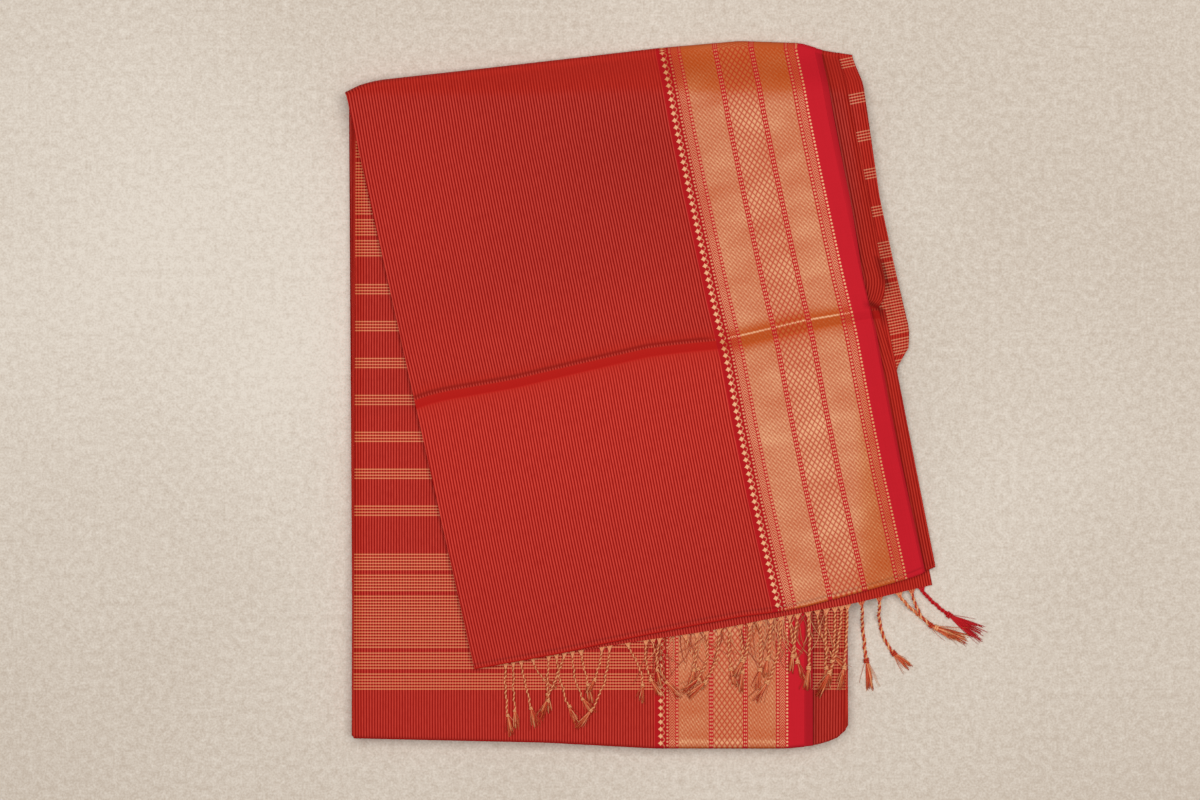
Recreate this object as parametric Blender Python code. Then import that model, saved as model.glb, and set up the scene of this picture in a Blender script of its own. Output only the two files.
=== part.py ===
# Folded silk sari, laid flat: one long cloth quartered along its length, zigzagged into a
# stack, with its last span turned over the stack as a slanted flap, and a knotted fringe
# at its end.  Plan view: +X right, +Y away, +Z up, origin under the middle of the stack.
# Working numbers below are in millimetres; vertices are written in metres.

import math
from collections import namedtuple

import bmesh
import bpy
import numpy as np

MM = 0.001

# Cloth: four plies pressed into one packet, the packet laid back and forth
PACKET = 1.0
LEVEL_GAP = 0.3
PITCH = PACKET + LEVEL_GAP
STACK_LEVELS = 12
FIRST_CENTRE = PACKET / 2
ROUND_EDGE = 0.35

# Heights of the loose span over the stack
FLAP_EASE = 0.6
FLAP_OVER_END_EASE = 1.2
UNDER_EASE = 0.8
DROOP_EASE = 0.8
FLOOR_CLEAR = 0.2
TOP_REST = 3.5

# Where the cloth leaves the stack and comes down to the floor
INNER_TOP_Y = 185.0
TOP_DROOP_START = 187.5
TOP_DROOP_REACH = 26.0
STACK_RIGHT = 145.0
RIGHT_DROOP_REACH = 55.0
OUTER_BULGE = 3.0
INNER_SETBACK = 2.0
FLAP_TURN = math.radians(12.2)

# Storage crease across the flap and the slow unevenness of the pile
CREASE_AT = 0.515
CREASE_HEIGHT = 2.0
CREASE_HALF = 6.5
FLAP_LENGTH = 337.0
WAVE_HEIGHT = 0.35
WAVE_X = 95.0
WAVE_Y = 140.0

# Across the packet, from the left fold; the last two columns are the selvedges and the half fold
COLUMNS = (0.0, 20.0, 45.0, 90.0, 135.0, 175.0, 205.0, 224.0, 237.0, 248.0, 257.0, 264.0)

# Fringe: backing strip past the hem and its strands
STRIP_GAP = 0.3
STRIP_WIDTH = 1.6
STRIP_END = 4.0
PIECE_GAP = 0.4
CORD_HALF = 0.9
KNOT_HALF = 1.6
KNOT_HIGH = 1.2
TUFT_HALF = 2.4
TIP_HALF = 0.7
ROOT_HALF = 0.6
RING_STEP = 5.0
PATH_STEP = 1.0
FALL_LENGTH = 17.0
LAY_REACH = 7.0

Point = namedtuple("Point", "x y")
Fold = namedtuple("Fold", "kind shift left selvedge half_fold")
Share = namedtuple("Share", "along width")
Strand = namedtuple("Strand", "root length lean bend tuft")

# Outline of the far edge, where the cloth turns over the stack
FAR_EDGE = (
    Point(-148.2, 190.8),
    Point(-129.4, 197.8),
    Point(-59.0, 206.0),
    Point(34.9, 217.2),
    Point(81.9, 221.3),
    Point(117.1, 220.1),
    Point(128.8, 216.6),
    Point(142.3, 214.3),
    Point(154.0, 212.5),
)

# Near edge of the stack
NEAR_EDGE = (
    Point(-146.0, -188.2),
    Point(-32.6, -190.8),
    Point(32.0, -194.3),
    Point(108.3, -194.3),
    Point(124.2, -192.5),
    Point(146.0, -187.4),
)

# Near edge of the flap, a fold
FLAP_EDGE = (
    Point(-73.7, -147.3),
    Point(104.2, -114.5),
    Point(182.8, -93.9),
    Point(200.0, -87.0),
)

# Fringed end of the cloth, under the flap and a little past it on the right
HEM_EDGE = (
    Point(-72.7, -146.7),
    Point(104.2, -115.5),
    Point(182.8, -101.5),
    Point(200.0, -98.0),
)

# Fold lines in order from the fringed end.  shift moves the line along Y, left is the place
# of the packet's left fold, selvedge and half_fold are the widths of its two halves.
FOLDS = (
    Fold("hem", 0.0, 0.0, 269.5, 272.0),
    Fold("inner far", 0.0, -145.2, 267.0, 291.5),
    Fold("near", 0.0, -144.2, 266.5, 289.0),
    Fold("far", -1.2, -143.4, 268.5, 286.5),
    Fold("near", 1.4, -145.0, 270.0, 287.0),
    Fold("far", 0.3, -144.6, 269.0, 288.5),
    Fold("near", 0.5, -145.4, 271.5, 288.5),
    Fold("far", -0.8, -145.8, 270.5, 286.0),
    Fold("near", 1.8, -144.4, 269.0, 287.5),
    Fold("far", 0.0, -145.0, 271.0, 289.5),
    Fold("near", 0.2, -146.0, 272.0, 288.0),
    Fold("far", -1.5, -145.2, 270.0, 287.0),
    Fold("near", 1.0, -145.6, 272.5, 289.0),
    Fold("outer far", 0.0, 0.0, 273.8, 286.5),
    Fold("flap near", 0.0, 0.0, 272.8, 276.8),
    Fold("free end", 0.0, 0.0, 273.0, 280.0),
)

# Half fold beyond the selvedges along the flap, from the far edge down, pinched at the crease
FLAP_LIP = (
    Share(0.0, 12.7),
    Share(0.45, 7.6),
    Share(0.495, 2.4),
    Share(0.52, 2.6),
    Share(0.635, 5.9),
    Share(1.0, 4.0),
)

# Width of the fringed span at its half fold, from the hem up; it is tucked under near the hem
HEM_SPAN_WIDTH = (
    Share(0.0, 272.0),
    Share(0.37, 274.0),
    Share(0.41, 279.0),
    Share(0.44, 287.5),
    Share(0.48, 289.5),
    Share(0.60, 288.5),
    Share(0.73, 288.5),
    Share(0.95, 293.5),
    Share(1.0, 291.5),
)

# Place of the crease along the flap for a place across it
CREASE_LINE = (
    Share(0.531, 0.0),
    Share(0.528, 60.0),
    Share(0.512, 140.0),
    Share(0.516, 185.0),
    Share(0.500, 275.0),
)

# Rows of the sweep, as distances in mm from the far edge or as shares of a span
FAR_ROWS = (0.0, 4.0, 8.0, 12.0, 16.0, 20.0, 24.0, 28.0, 33.0, 40.0)
FLAP_ROWS = (0.19, 0.27, 0.35, 0.39, 0.43, 0.47, 0.49, 0.505, 0.515, 0.525, 0.54, 0.565,
             0.62, 0.70, 0.78, 0.86, 0.93, 1.0)
HEM_SPAN_ROWS = (0.0, 0.06, 0.13, 0.21, 0.29, 0.37, 0.41, 0.44, 0.48, 0.55, 0.64, 0.73, 0.82)
UNDER_ROWS = (0.0, 0.07, 0.14, 0.22, 0.30, 0.38, 0.44, 0.5)
TOP_SPAN_ROWS = (0.2, 0.4, 0.6, 0.8, 1.0)
STACK_ROWS = (0.0, 0.33, 0.67, 1.0)
LOOP_TURNS = (0.25, 0.5, 0.75)
TALL_TURNS = (0.1, 0.22, 0.36, 0.5, 0.64, 0.78, 0.9)

# Strands: place along the hem, length in plan, heading at the root from straight down,
# turn over the length (both in degrees, to the right is positive) and the frayed end
STRANDS = (
    Strand(17.5, 40.0, -2.0, 16.0, 9.0),
    Strand(22.0, 37.0, 0.0, 6.0, 8.0),
    Strand(26.5, 38.0, 12.0, 4.0, 9.0),
    Strand(33.5, 21.0, 22.0, 45.0, 6.0),
    Strand(43.0, 31.0, -4.0, 10.0, 8.0),
    Strand(47.5, 41.0, 8.0, 22.0, 9.0),
    Strand(52.5, 39.0, -22.0, 2.0, 9.0),
    Strand(57.0, 37.0, 2.0, 40.0, 8.0),
    Strand(62.0, 29.0, 14.0, -6.0, 8.0),
    Strand(74.5, 26.0, -8.0, -22.0, 6.0),
    Strand(79.0, 50.0, -4.0, -42.0, 10.0),
    Strand(89.5, 35.0, 36.0, -52.0, 8.0),
    Strand(100.5, 33.0, -4.0, 46.0, 9.0),
    Strand(104.5, 36.0, 10.0, 34.0, 9.0),
    Strand(108.5, 26.0, -12.0, 30.0, 7.0),
    Strand(123.5, 31.0, 26.0, -14.0, 9.0),
    Strand(130.5, 29.0, -2.0, -14.0, 7.0),
    Strand(136.0, 38.0, 10.0, -74.0, 9.0),
    Strand(143.5, 43.0, 2.0, -62.0, 10.0),
    Strand(150.0, 33.0, -4.0, 22.0, 8.0),
    Strand(156.0, 37.0, 8.0, -18.0, 9.0),
    Strand(162.0, 31.0, -2.0, -34.0, 8.0),
    Strand(168.0, 38.0, 4.0, -14.0, 9.0),
    Strand(174.5, 32.0, -2.0, -10.0, 8.0),
    Strand(180.5, 50.0, 0.0, -40.0, 10.0),
    Strand(185.5, 36.0, 8.0, 10.0, 8.0),
    Strand(190.5, 33.0, -9.0, 4.0, 8.0),
    Strand(196.5, 43.0, 5.0, -14.0, 10.0),
    Strand(202.0, 38.0, 6.0, 52.0, 9.0),
    Strand(207.5, 44.0, -3.0, 10.0, 9.0),
    Strand(212.5, 41.0, 1.0, -14.0, 9.0),
    Strand(216.5, 52.0, -3.0, -28.0, 12.0),
    Strand(220.0, 47.0, -1.0, -8.0, 10.0),
    Strand(228.5, 50.0, 6.0, 2.0, 13.0),
    Strand(239.5, 46.0, -2.0, 62.0, 9.0),
    Strand(251.5, 50.0, 42.0, 34.0, 15.0),
    Strand(259.5, 38.0, 14.0, 70.0, 12.0),
    Strand(265.5, 46.0, 44.0, 22.0, 15.0),
)


def smooth(value):
    """Ease from 0 to 1 as value goes from 0 to 1."""
    t = np.clip(value, 0.0, 1.0)
    return t * t * (3.0 - 2.0 * t)


def edge_y(points, x):
    """Height in plan of an outline at a place along X."""
    return np.interp(x, [p.x for p in points], [p.y for p in points])


def share_at(table, along):
    """Width read from a table of shares."""
    return np.interp(along, [row.along for row in table], [row.width for row in table])


def across_edge(points, width):
    """Point of an outline at a width measured square to the turned flap."""
    start = points[0]
    reach = [(p.x - start.x) * math.cos(FLAP_TURN) + (p.y - start.y) * math.sin(FLAP_TURN)
             for p in points]
    last = points[-1]
    extra = np.maximum(np.asarray(width) - reach[-1], 0.0)
    x = np.interp(width, reach, [p.x for p in points]) + extra * math.cos(FLAP_TURN)
    y = np.interp(width, reach, [p.y for p in points]) + extra * math.sin(FLAP_TURN)
    return np.minimum(x, last.x + extra), y


def fold_point(fold, width):
    """Plan position of the end of a span, at a width from the left fold."""
    if fold.kind == "hem":
        return across_edge(HEM_EDGE, width)
    if fold.kind == "flap near":
        x, y = across_edge(FLAP_EDGE, width)
        return x, y + PITCH
    if fold.kind == "outer far":
        x, y = across_edge(FAR_EDGE, width)
        return x, y - OUTER_BULGE - PACKET / 2
    x = fold.left + width
    if fold.kind == "near":
        return x, edge_y(NEAR_EDGE, x) + fold.shift + PITCH
    if fold.kind == "inner far":
        return x, edge_y(FAR_EDGE, x) - OUTER_BULGE - PACKET - INNER_SETBACK
    return x, INNER_TOP_Y + fold.shift + 0.0 * x


def wave(x, y):
    """Slow unevenness of the pile."""
    return WAVE_HEIGHT * (np.sin(x / WAVE_X * 2.0 + 0.7) * np.cos(y / WAVE_Y * 2.0) - 0.3)


def far_drop(y):
    """Share of the way down from the stack's top to the floor, past its far folds."""
    return smooth((y - TOP_DROOP_START) / TOP_DROOP_REACH)


def right_drop(x):
    """Share of the way down past the stack's right side."""
    return smooth((x - STACK_RIGHT) / RIGHT_DROOP_REACH)


def stack_centre(number, x, y):
    """Height of the middle of a stack level; level 0 lies on the floor."""
    flat = FIRST_CENTRE + PITCH * number
    height = flat + wave(x, y) * number / (STACK_LEVELS - 1)
    if number < STACK_LEVELS - 1:
        return height
    low = PACKET + FIRST_CENTRE + LEVEL_GAP + FLAP_EASE
    return height + (low - height) * far_drop(y)


def flap_rest(x, y):
    """Height on which the loose spans rest."""
    top = STACK_LEVELS * PITCH + FLAP_EASE + wave(x, y)
    rest = top + (TOP_REST + LEVEL_GAP - top) * far_drop(y)
    return rest + (FLOOR_CLEAR - rest) * right_drop(x)


def hem_centre(x, y):
    """Height of the middle of the fringed span."""
    return flap_rest(x, y) + PACKET / 2


def under_centre(x, y):
    """Height of the middle of the hidden last span, on the fringed span."""
    return hem_centre(x, y) + PITCH + UNDER_EASE + DROOP_EASE * right_drop(x)


def flap_centre(x, y, along):
    """Height of the middle of the flap, with its crease."""
    lift = FLAP_OVER_END_EASE
    lift += (PITCH + 1.5 * UNDER_EASE - FLAP_OVER_END_EASE) * smooth((along - 0.37) / 0.1)
    crease = CREASE_HEIGHT * np.exp(-abs(along - CREASE_AT) * FLAP_LENGTH / CREASE_HALF)
    ease = DROOP_EASE * right_drop(x)
    return hem_centre(x, y) + PITCH + lift + crease + 2.0 * ease


class Row:
    """One cross-section of the packet: middle points, directions of its face side, widths."""

    def __init__(self, middle, facing):
        self.middle = middle
        self.facing = facing


def widths_of(selvedge, half_fold):
    """All places across the packet: inner columns, selvedges, half fold."""
    return np.array(COLUMNS + (selvedge, half_fold))


def level_row(start, end, share, selvedge, half_fold, height, face_up, warp=None):
    """Row inside a span, at a share of the way between two fold lines."""
    width = widths_of(selvedge, half_fold)
    x0, y0 = fold_point(start, width)
    x1, y1 = fold_point(end, width)
    along = share + (warp(width, share) if warp else 0.0 * width)
    x = x0 + (x1 - x0) * along
    y = y0 + (y1 - y0) * along
    middle = np.stack([x, y, height(x, y)], axis=1)
    facing = np.zeros_like(middle)
    facing[:, 2] = 1.0 if face_up else -1.0
    return Row(middle, facing)


def loop_rows(before, after, turns, outward_y, face_outside, bulge=None):
    """Rows round a fold, from one level's last row to the next level's first row."""
    first = before.middle
    second = after.middle
    centre = (first + second) / 2
    high = (first[:, 2] - second[:, 2]) / 2
    reach = np.abs(high) if bulge is None else np.full(len(high), bulge)
    step = np.gradient(centre[:, :2], axis=0)
    step /= np.linalg.norm(step, axis=1)[:, None]
    out = np.stack([-step[:, 1], step[:, 0]], axis=1)
    out *= np.sign(out[:, 1] * outward_y)[:, None]
    rows = []
    for turn in turns:
        angle = math.pi * turn
        middle = centre.copy()
        middle[:, :2] += out * (reach * math.sin(angle))[:, None]
        middle[:, 2] += high * math.cos(angle)
        facing = np.zeros_like(middle)
        facing[:, :2] = out * (np.abs(high) * math.sin(angle))[:, None]
        facing[:, 2] = np.sign(high) * reach * math.cos(angle)
        facing /= np.linalg.norm(facing, axis=1)[:, None]
        if not face_outside:
            facing = -facing
        rows.append(Row(middle, facing))
    return rows


def crease_warp(width, share):
    """Shift of a flap row so that the crease follows its slanted line."""
    line = np.interp(width, [row.width for row in CREASE_LINE],
                     [row.along for row in CREASE_LINE]) - CREASE_AT
    if share < CREASE_AT:
        return line * share / CREASE_AT
    return line * (1.0 - share) / (1.0 - CREASE_AT)


def hem_span():
    """Rows of the fringed span, from the hem to the far fold, face side down."""
    hem, far = FOLDS[0], FOLDS[1]
    shares = list(HEM_SPAN_ROWS) + [1.0 - d / FLAP_LENGTH for d in reversed(FAR_ROWS)]
    return [level_row(hem, far, share, hem.selvedge + (far.selvedge - hem.selvedge) * share,
                      share_at(HEM_SPAN_WIDTH, share), hem_centre, False)
            for share in shares]


def stack_span(index):
    """Rows of a level of the stack; the fold lines on both sides of it are index and index + 1."""
    start, end = FOLDS[index], FOLDS[index + 1]
    number = STACK_LEVELS - index
    shares = STACK_ROWS
    if index == 1:
        length = 400.0
        shares = [d / length for d in FAR_ROWS] + list(TOP_SPAN_ROWS)
    rows = []
    for share in shares:
        selvedge = start.selvedge + (end.selvedge - start.selvedge) * share
        half_fold = start.half_fold + (end.half_fold - start.half_fold) * share
        rows.append(level_row(start, end, share, selvedge, half_fold,
                              lambda x, y: stack_centre(number, x, y), index % 2 == 1))
    return rows


def flap_span():
    """Rows of the flap, from the far edge down to its near fold, face side up."""
    far, near = FOLDS[-3], FOLDS[-2]
    rows = []
    for share in [d / FLAP_LENGTH for d in FAR_ROWS] + list(FLAP_ROWS):
        selvedge = far.selvedge + (near.selvedge - far.selvedge) * share
        half_fold = selvedge + share_at(FLAP_LIP, share)
        rows.append(level_row(far, near, share, selvedge, half_fold,
                              lambda x, y: flap_centre(x, y, share), True, crease_warp))
    return rows


def under_span():
    """Rows of the last span, hidden under the flap, up to the free end."""
    near, far, end = FOLDS[-2], FOLDS[-3], FOLDS[-1]
    rows = []
    for share in UNDER_ROWS:
        part = share / UNDER_ROWS[-1]
        selvedge = near.selvedge + (end.selvedge - near.selvedge) * part
        half_fold = near.half_fold + (end.half_fold - near.half_fold) * part
        rows.append(level_row(near, far, share, selvedge, half_fold, under_centre, False))
    return rows


def cloth_rows():
    """Rows of the whole cloth, spans and folds, from the hem to the free end."""
    spans = [hem_span()] + [stack_span(index) for index in range(1, STACK_LEVELS + 1)]
    spans += [flap_span(), under_span()]
    rows = list(spans[0])
    for index in range(1, len(spans)):
        before, after = rows[-1], spans[index][0]
        fold = FOLDS[index]
        outward = 1.0 if "far" in fold.kind else -1.0
        outside = index % 2 == 0 or fold.kind == "outer far"
        if fold.kind == "outer far":
            rows += loop_rows(before, after, TALL_TURNS, outward, True, OUTER_BULGE)
        else:
            rows += loop_rows(before, after, LOOP_TURNS, outward, outside)
        rows += spans[index]
    return rows


def cloth_ring(row):
    """Closed outline of the packet at a row, the step between selvedges and half fold included."""
    half = PACKET / 2
    face = row.middle + row.facing * half
    back = row.middle - row.facing * half
    left = row.middle[0] + (row.middle[0] - row.middle[1]) * ROUND_EDGE / COLUMNS[1]
    ring = list(face[:-1]) + [row.middle[-2], row.middle[-1]] + list(back[::-1]) + [left]
    return ring


def cap_faces(first, count, flip):
    """Faces closing an end of the packet."""
    columns = len(COLUMNS) + 1
    face = list(range(columns))
    step, lip = columns, columns + 1
    back = [count - 2 - c for c in range(columns + 1)]
    faces = []
    for c in range(columns - 2):
        faces.append([face[c], face[c + 1], back[c + 1], back[c]])
    last = columns - 1
    faces.append([face[last - 1], face[last], step, back[last], back[last - 1]])
    faces.append([step, lip, back[last + 1], back[last]])
    faces.append([count - 1, face[0], back[0]])
    out = []
    for corners in faces:
        ids = [first + c for c in corners]
        out.append(ids if flip else ids[::-1])
    return out


def make_material(name, colour, roughness, metallic):
    """Plain material with the colour seen on the object."""
    material = bpy.data.materials.new(name)
    material.use_nodes = True
    shader = material.node_tree.nodes["Principled BSDF"]
    shader.inputs["Base Color"].default_value = (*colour, 1.0)
    shader.inputs["Roughness"].default_value = roughness
    shader.inputs["Metallic"].default_value = metallic
    material.diffuse_color = (*colour, 1.0)
    return material


def add_object(name, points, faces, material):
    """Closed mesh object with its faces turned outward."""
    mesh = bpy.data.meshes.new(name)
    mesh.from_pydata([tuple(np.asarray(p) * MM) for p in points], [], faces)
    mesh.update()
    shape = bmesh.new()
    shape.from_mesh(mesh)
    bmesh.ops.recalc_face_normals(shape, faces=shape.faces)
    if shape.calc_volume(signed=True) < 0.0:
        bmesh.ops.reverse_faces(shape, faces=shape.faces)
    shape.to_mesh(mesh)
    shape.free()
    mesh.materials.append(material)
    thing = bpy.data.objects.new(name, mesh)
    bpy.context.scene.collection.objects.link(thing)
    return thing


def build_cloth(material):
    """The sari itself, one ribbon laid back and forth."""
    rows = cloth_rows()
    points = []
    faces = []
    for row in rows:
        points += cloth_ring(row)
    count = len(points) // len(rows)
    for index in range(len(rows) - 1):
        here = index * count
        there = here + count
        for c in range(count):
            n = (c + 1) % count
            faces.append([here + c, here + n, there + n, there + c])
    faces += cap_faces(0, count, False)
    faces += cap_faces((len(rows) - 1) * count, count, True)
    return add_object("sari", points, faces, material)


def strand_path(strand):
    """Plan path of a strand from its root, one point each PATH_STEP."""
    x, y = across_edge(HEM_EDGE, strand.root)
    start = np.array([float(x), float(y) - STRIP_GAP - STRIP_WIDTH])
    count = int(strand.length / PATH_STEP)
    points = [start]
    for index in range(count):
        share = (index + 0.5) / count
        heading = math.radians(strand.lean + strand.bend * share ** 1.3)
        step = np.array([math.sin(heading), -math.cos(heading)]) * PATH_STEP
        points.append(points[-1] + step)
    return np.array(points)


def strand_half(strand, distance):
    """Half width and half height of a strand at a distance from its root."""
    knot = strand.length - strand.tuft - KNOT_HALF
    around_knot = math.exp(-((distance - knot) / KNOT_HALF) ** 2)
    tuft = smooth((distance - knot - KNOT_HALF) / strand.tuft * 1.6)
    tip = smooth((strand.length - distance) / (strand.tuft * 0.35))
    wide = CORD_HALF + (KNOT_HALF - CORD_HALF) * around_knot
    wide += (TUFT_HALF - CORD_HALF) * float(tuft) * float(tip)
    wide -= (CORD_HALF - TIP_HALF) * (1.0 - float(tip))
    high = CORD_HALF + (KNOT_HIGH - CORD_HALF) * around_knot
    high -= (CORD_HALF - TIP_HALF) * float(tuft)
    return wide, high


def resting_height(strand, path):
    """Height under a strand along its path: on the stack, or falling to the floor beside it."""
    if path[0][0] < STACK_RIGHT:
        top = stack_centre(STACK_LEVELS - 1, path[:, 0], path[:, 1]) + PACKET / 2
        return top + PIECE_GAP
    root = float(hem_centre(path[0][0], path[0][1] + STRIP_WIDTH)) - CORD_HALF
    distance = np.arange(len(path)) * PATH_STEP
    return max(root, 0.0) * (1.0 - smooth(distance / FALL_LENGTH))


def lay_over(path, halves, under, laid):
    """Raise a strand where it crosses the strands laid before it."""
    need = under.copy()
    for other_path, other_halves, other_under in laid:
        away = np.linalg.norm(path[:, None, :] - other_path[None, :, :], axis=2)
        touch = halves[:, None, 0] + other_halves[None, :, 0] + 2.0 * PIECE_GAP
        top = other_under + 2.0 * other_halves[:, 1] + PIECE_GAP
        lift = np.where(away < touch, top[None, :], -1.0).max(axis=1)
        need = np.maximum(need, lift)
    reach = int(LAY_REACH / PATH_STEP)
    eased = need.copy()
    for index in range(len(need)):
        for offset in range(-reach, reach + 1):
            other = index + offset
            if 0 <= other < len(need):
                fade = 1.0 - float(smooth((abs(offset) - 2.0) / (reach - 2.0)))
                rise = (need[other] - under[other]) * fade + under[index]
                eased[index] = max(eased[index], rise)
    root_hold = smooth(np.arange(len(need)) * PATH_STEP / LAY_REACH)
    return under + (eased - under) * root_hold


def build_fringe(material):
    """Backing strip along the hem with its strands, one body."""
    laid = []
    half = PACKET / 2
    edges = [STRIP_END]
    for strand in STRANDS:
        edges += [strand.root - ROOT_HALF, strand.root + ROOT_HALF]
    edges.append(FOLDS[0].selvedge)
    points = []
    faces = []
    for width in edges:
        x, y = across_edge(HEM_EDGE, width)
        back_y = float(y) - STRIP_GAP
        front_y = back_y - STRIP_WIDTH
        z = float(hem_centre(x, back_y))
        points += [(x, back_y, z + half), (x, back_y, z - half),
                   (x, front_y, z - half), (x, front_y, z + half)]
    for index in range(len(edges) - 1):
        here = index * 4
        there = here + 4
        rooted = index % 2 == 1
        for side in range(4):
            nxt = (side + 1) % 4
            if rooted and side == 2:
                continue
            faces.append([here + side, here + nxt, there + nxt, there + side])
    last = (len(edges) - 1) * 4
    faces.append([0, 3, 2, 1])
    faces.append([last, last + 1, last + 2, last + 3])
    for number, strand in enumerate(STRANDS):
        path = strand_path(strand)
        distance = np.arange(len(path)) * PATH_STEP
        halves = np.array([strand_half(strand, d) for d in distance])
        under = lay_over(path, halves, resting_height(strand, path), laid)
        laid.append((path, halves, under))
        cell = (1 + 2 * number) * 4
        previous = [cell + 3, cell + 7, cell + 6, cell + 2]
        rings = max(5, int(round(strand.length / RING_STEP)))
        for ring in range(1, rings + 1):
            at = ring / rings * (len(path) - 1)
            low = min(int(at), len(path) - 2)
            part = at - low
            centre = path[low] * (1 - part) + path[low + 1] * part
            wide, high = strand_half(strand, at * PATH_STEP)
            base = under[low] * (1 - part) + under[low + 1] * part
            along = path[low + 1] - path[low]
            along = along / np.linalg.norm(along)
            side = np.array([-along[1], along[0]]) * wide
            z = base + high
            first = len(points)
            left = centre - side
            right = centre + side
            points += [(left[0], left[1], z + high * 0.7), (right[0], right[1], z + high * 0.7),
                       (right[0], right[1], z - high), (left[0], left[1], z - high)]
            now = [first, first + 1, first + 2, first + 3]
            for corner in range(4):
                nxt = (corner + 1) % 4
                faces.append([previous[corner], previous[nxt], now[nxt], now[corner]])
            previous = now
        faces.append(previous[::-1])
    return add_object("fringe", points, faces, material)


def main():
    for thing in list(bpy.data.objects):
        bpy.data.objects.remove(thing, do_unlink=True)
    silk = make_material("sari_silk", (0.50, 0.045, 0.022), 0.55, 0.0)
    thread = make_material("fringe_thread", (0.62, 0.20, 0.07), 0.6, 0.0)
    build_cloth(silk)
    build_fringe(thread)


main()
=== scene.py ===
"""Folded silk sari with a gold border and a knotted fringe, laid flat on a pale floor."""

import math
from collections import namedtuple

import bpy
import numpy as np
from bpy.props import FloatProperty, FloatVectorProperty, IntProperty, PointerProperty
from bpy.types import Operator, Panel, PropertyGroup
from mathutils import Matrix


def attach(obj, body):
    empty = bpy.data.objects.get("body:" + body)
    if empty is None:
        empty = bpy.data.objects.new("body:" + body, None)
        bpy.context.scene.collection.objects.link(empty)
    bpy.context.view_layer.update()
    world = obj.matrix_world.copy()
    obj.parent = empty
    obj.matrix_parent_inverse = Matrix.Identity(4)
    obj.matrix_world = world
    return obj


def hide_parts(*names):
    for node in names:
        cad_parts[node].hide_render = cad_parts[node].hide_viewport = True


bl_info = {
    "name": "Folded sari",
    "version": (1, 0, 0),
    "blender": (4, 5, 0),
    "location": "View3D > Sidebar > Sari",
    "description": "Builds a folded silk sari, its border weave and its knotted fringe",
    "category": "Object",
}

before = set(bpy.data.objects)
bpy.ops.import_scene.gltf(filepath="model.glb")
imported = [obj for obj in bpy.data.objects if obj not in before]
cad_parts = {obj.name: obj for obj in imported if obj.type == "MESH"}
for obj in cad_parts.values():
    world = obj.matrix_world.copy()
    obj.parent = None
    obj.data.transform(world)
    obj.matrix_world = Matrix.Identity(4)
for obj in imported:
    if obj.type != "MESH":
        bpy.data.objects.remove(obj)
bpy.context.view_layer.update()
BODY = "root"

MM = 0.001

# Packet of four plies and its back-and-forth levels, in millimetres, as the solids have them
PACKET = 1.0
LEVEL_GAP = 0.3
PITCH = PACKET + LEVEL_GAP
STACK_LEVELS = 12
FLAP_EASE = 0.6
FLAP_OVER_END_EASE = 1.2
UNDER_EASE = 0.8
DROOP_EASE = 0.8
FLOOR_CLEAR = 0.2
TOP_REST = 3.5
INNER_TOP_Y = 185.0
TOP_DROOP_START = 187.5
TOP_DROOP_REACH = 26.0
STACK_RIGHT = 145.0
RIGHT_DROOP_REACH = 55.0
OUTER_BULGE = 3.0
INNER_SETBACK = 2.0
FLAP_TURN = math.radians(12.2)
FLAP_LENGTH = 337.0
CREASE_AT = 0.515
WAVE_HEIGHT = 0.35
WAVE_X = 95.0
WAVE_Y = 140.0

# Finer shape of the far edge, the right side, the crease and the free end
INNER_REACH = 4.3
INNER_REACH_START = 130.0
INNER_REACH_FADE = 10.0
SLOPE_LIFT = 10.5
SLOPE_LIFT_START = 203.0
SLOPE_LIFT_FADE = 10.0
HEM_SIDE_REACH = 1.6
HEM_SIDE_START = 0.42
HEM_SIDE_FADE = 0.06
STACK_NEAR_TRIM = 1.6
FLAP_RISE_START = 0.37
FLAP_RISE_FADE = 0.1
RIPPLE_HEIGHT = 0.16
CREASE_HALF = 5.5
CREASE_FOOT = 5.6
CREASE_DIP = 0.12
CREST_HALF = 0.55
UNDER_SHARE = 0.5
OUTER_TURN_LENGTH = 26.0

# Places of the four plies inside the packet, from its middle towards its face side
OUTER_PLY = 0.37
INNER_PLY = 0.125

# Fringe
STRIP_GAP = 0.3
STRIP_WIDTH = 1.6
PIECE_GAP = 0.4
PATH_STEP = 1.0
FALL_LENGTH = 17.0
LAY_REACH = 7.0
CORD_SWELL = 1.4
SIDE_CORD_SWELL = 1.12
THIN_CORD_TWIST = 0.58
CORD_PHASE = 1.7

# Material slots of the fringe
RED, GOLD, CRIMSON, ORANGE, AMBER, DARK = range(6)

# Loose threads, gathered roots and frayed ends
LOOSE_THREADS = 80
LOOSE_START = 96.0
LOOSE_REACH = 112.0
LOOSE_STEP = 1.5
# The dark slot is partly painted shade between the cords
LOOSE_SLOTS = (AMBER, GOLD, DARK, ORANGE, GOLD, AMBER)
ROOT_THREADS = 11
TUFT_POINTS = 6
STACK_SIDE_ROOT = 224.0

# Place along the cloth, from the fringed end, where the stack top crosses Y zero, then the
# widths at which lengths along the cloth are taken and the stretch of its fringed span
BAND_ORIGIN = 534.0
MIDDLE_WIDTH = 140.0
HEM_SIDE_WIDTH = 282.0
HEM_STRETCH = 1.01

Point = namedtuple("Point", "x y")
Fold = namedtuple("Fold", "kind shift left selvedge half_fold")
Share = namedtuple("Share", "along width")
Strand = namedtuple("Strand", "root length lean bend tuft half gold")
Station = namedtuple("Station", "span share turn")
Patch = namedtuple("Patch", "x y half_x half_y strength")


def table(kind, *rows):
    """Rows of numbers as named tuples."""
    return tuple(kind(*row) for row in rows)


# Outlines of the cloth in plan, in millimetres
FAR_EDGE = table(
    Point, (-148.2, 190.8), (-139.0, 195.4), (-129.4, 197.8), (-59.0, 206.0), (34.9, 217.2),
    (81.9, 221.3), (117.1, 220.1), (128.8, 216.6), (142.3, 214.3), (154.0, 212.5))

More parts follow.
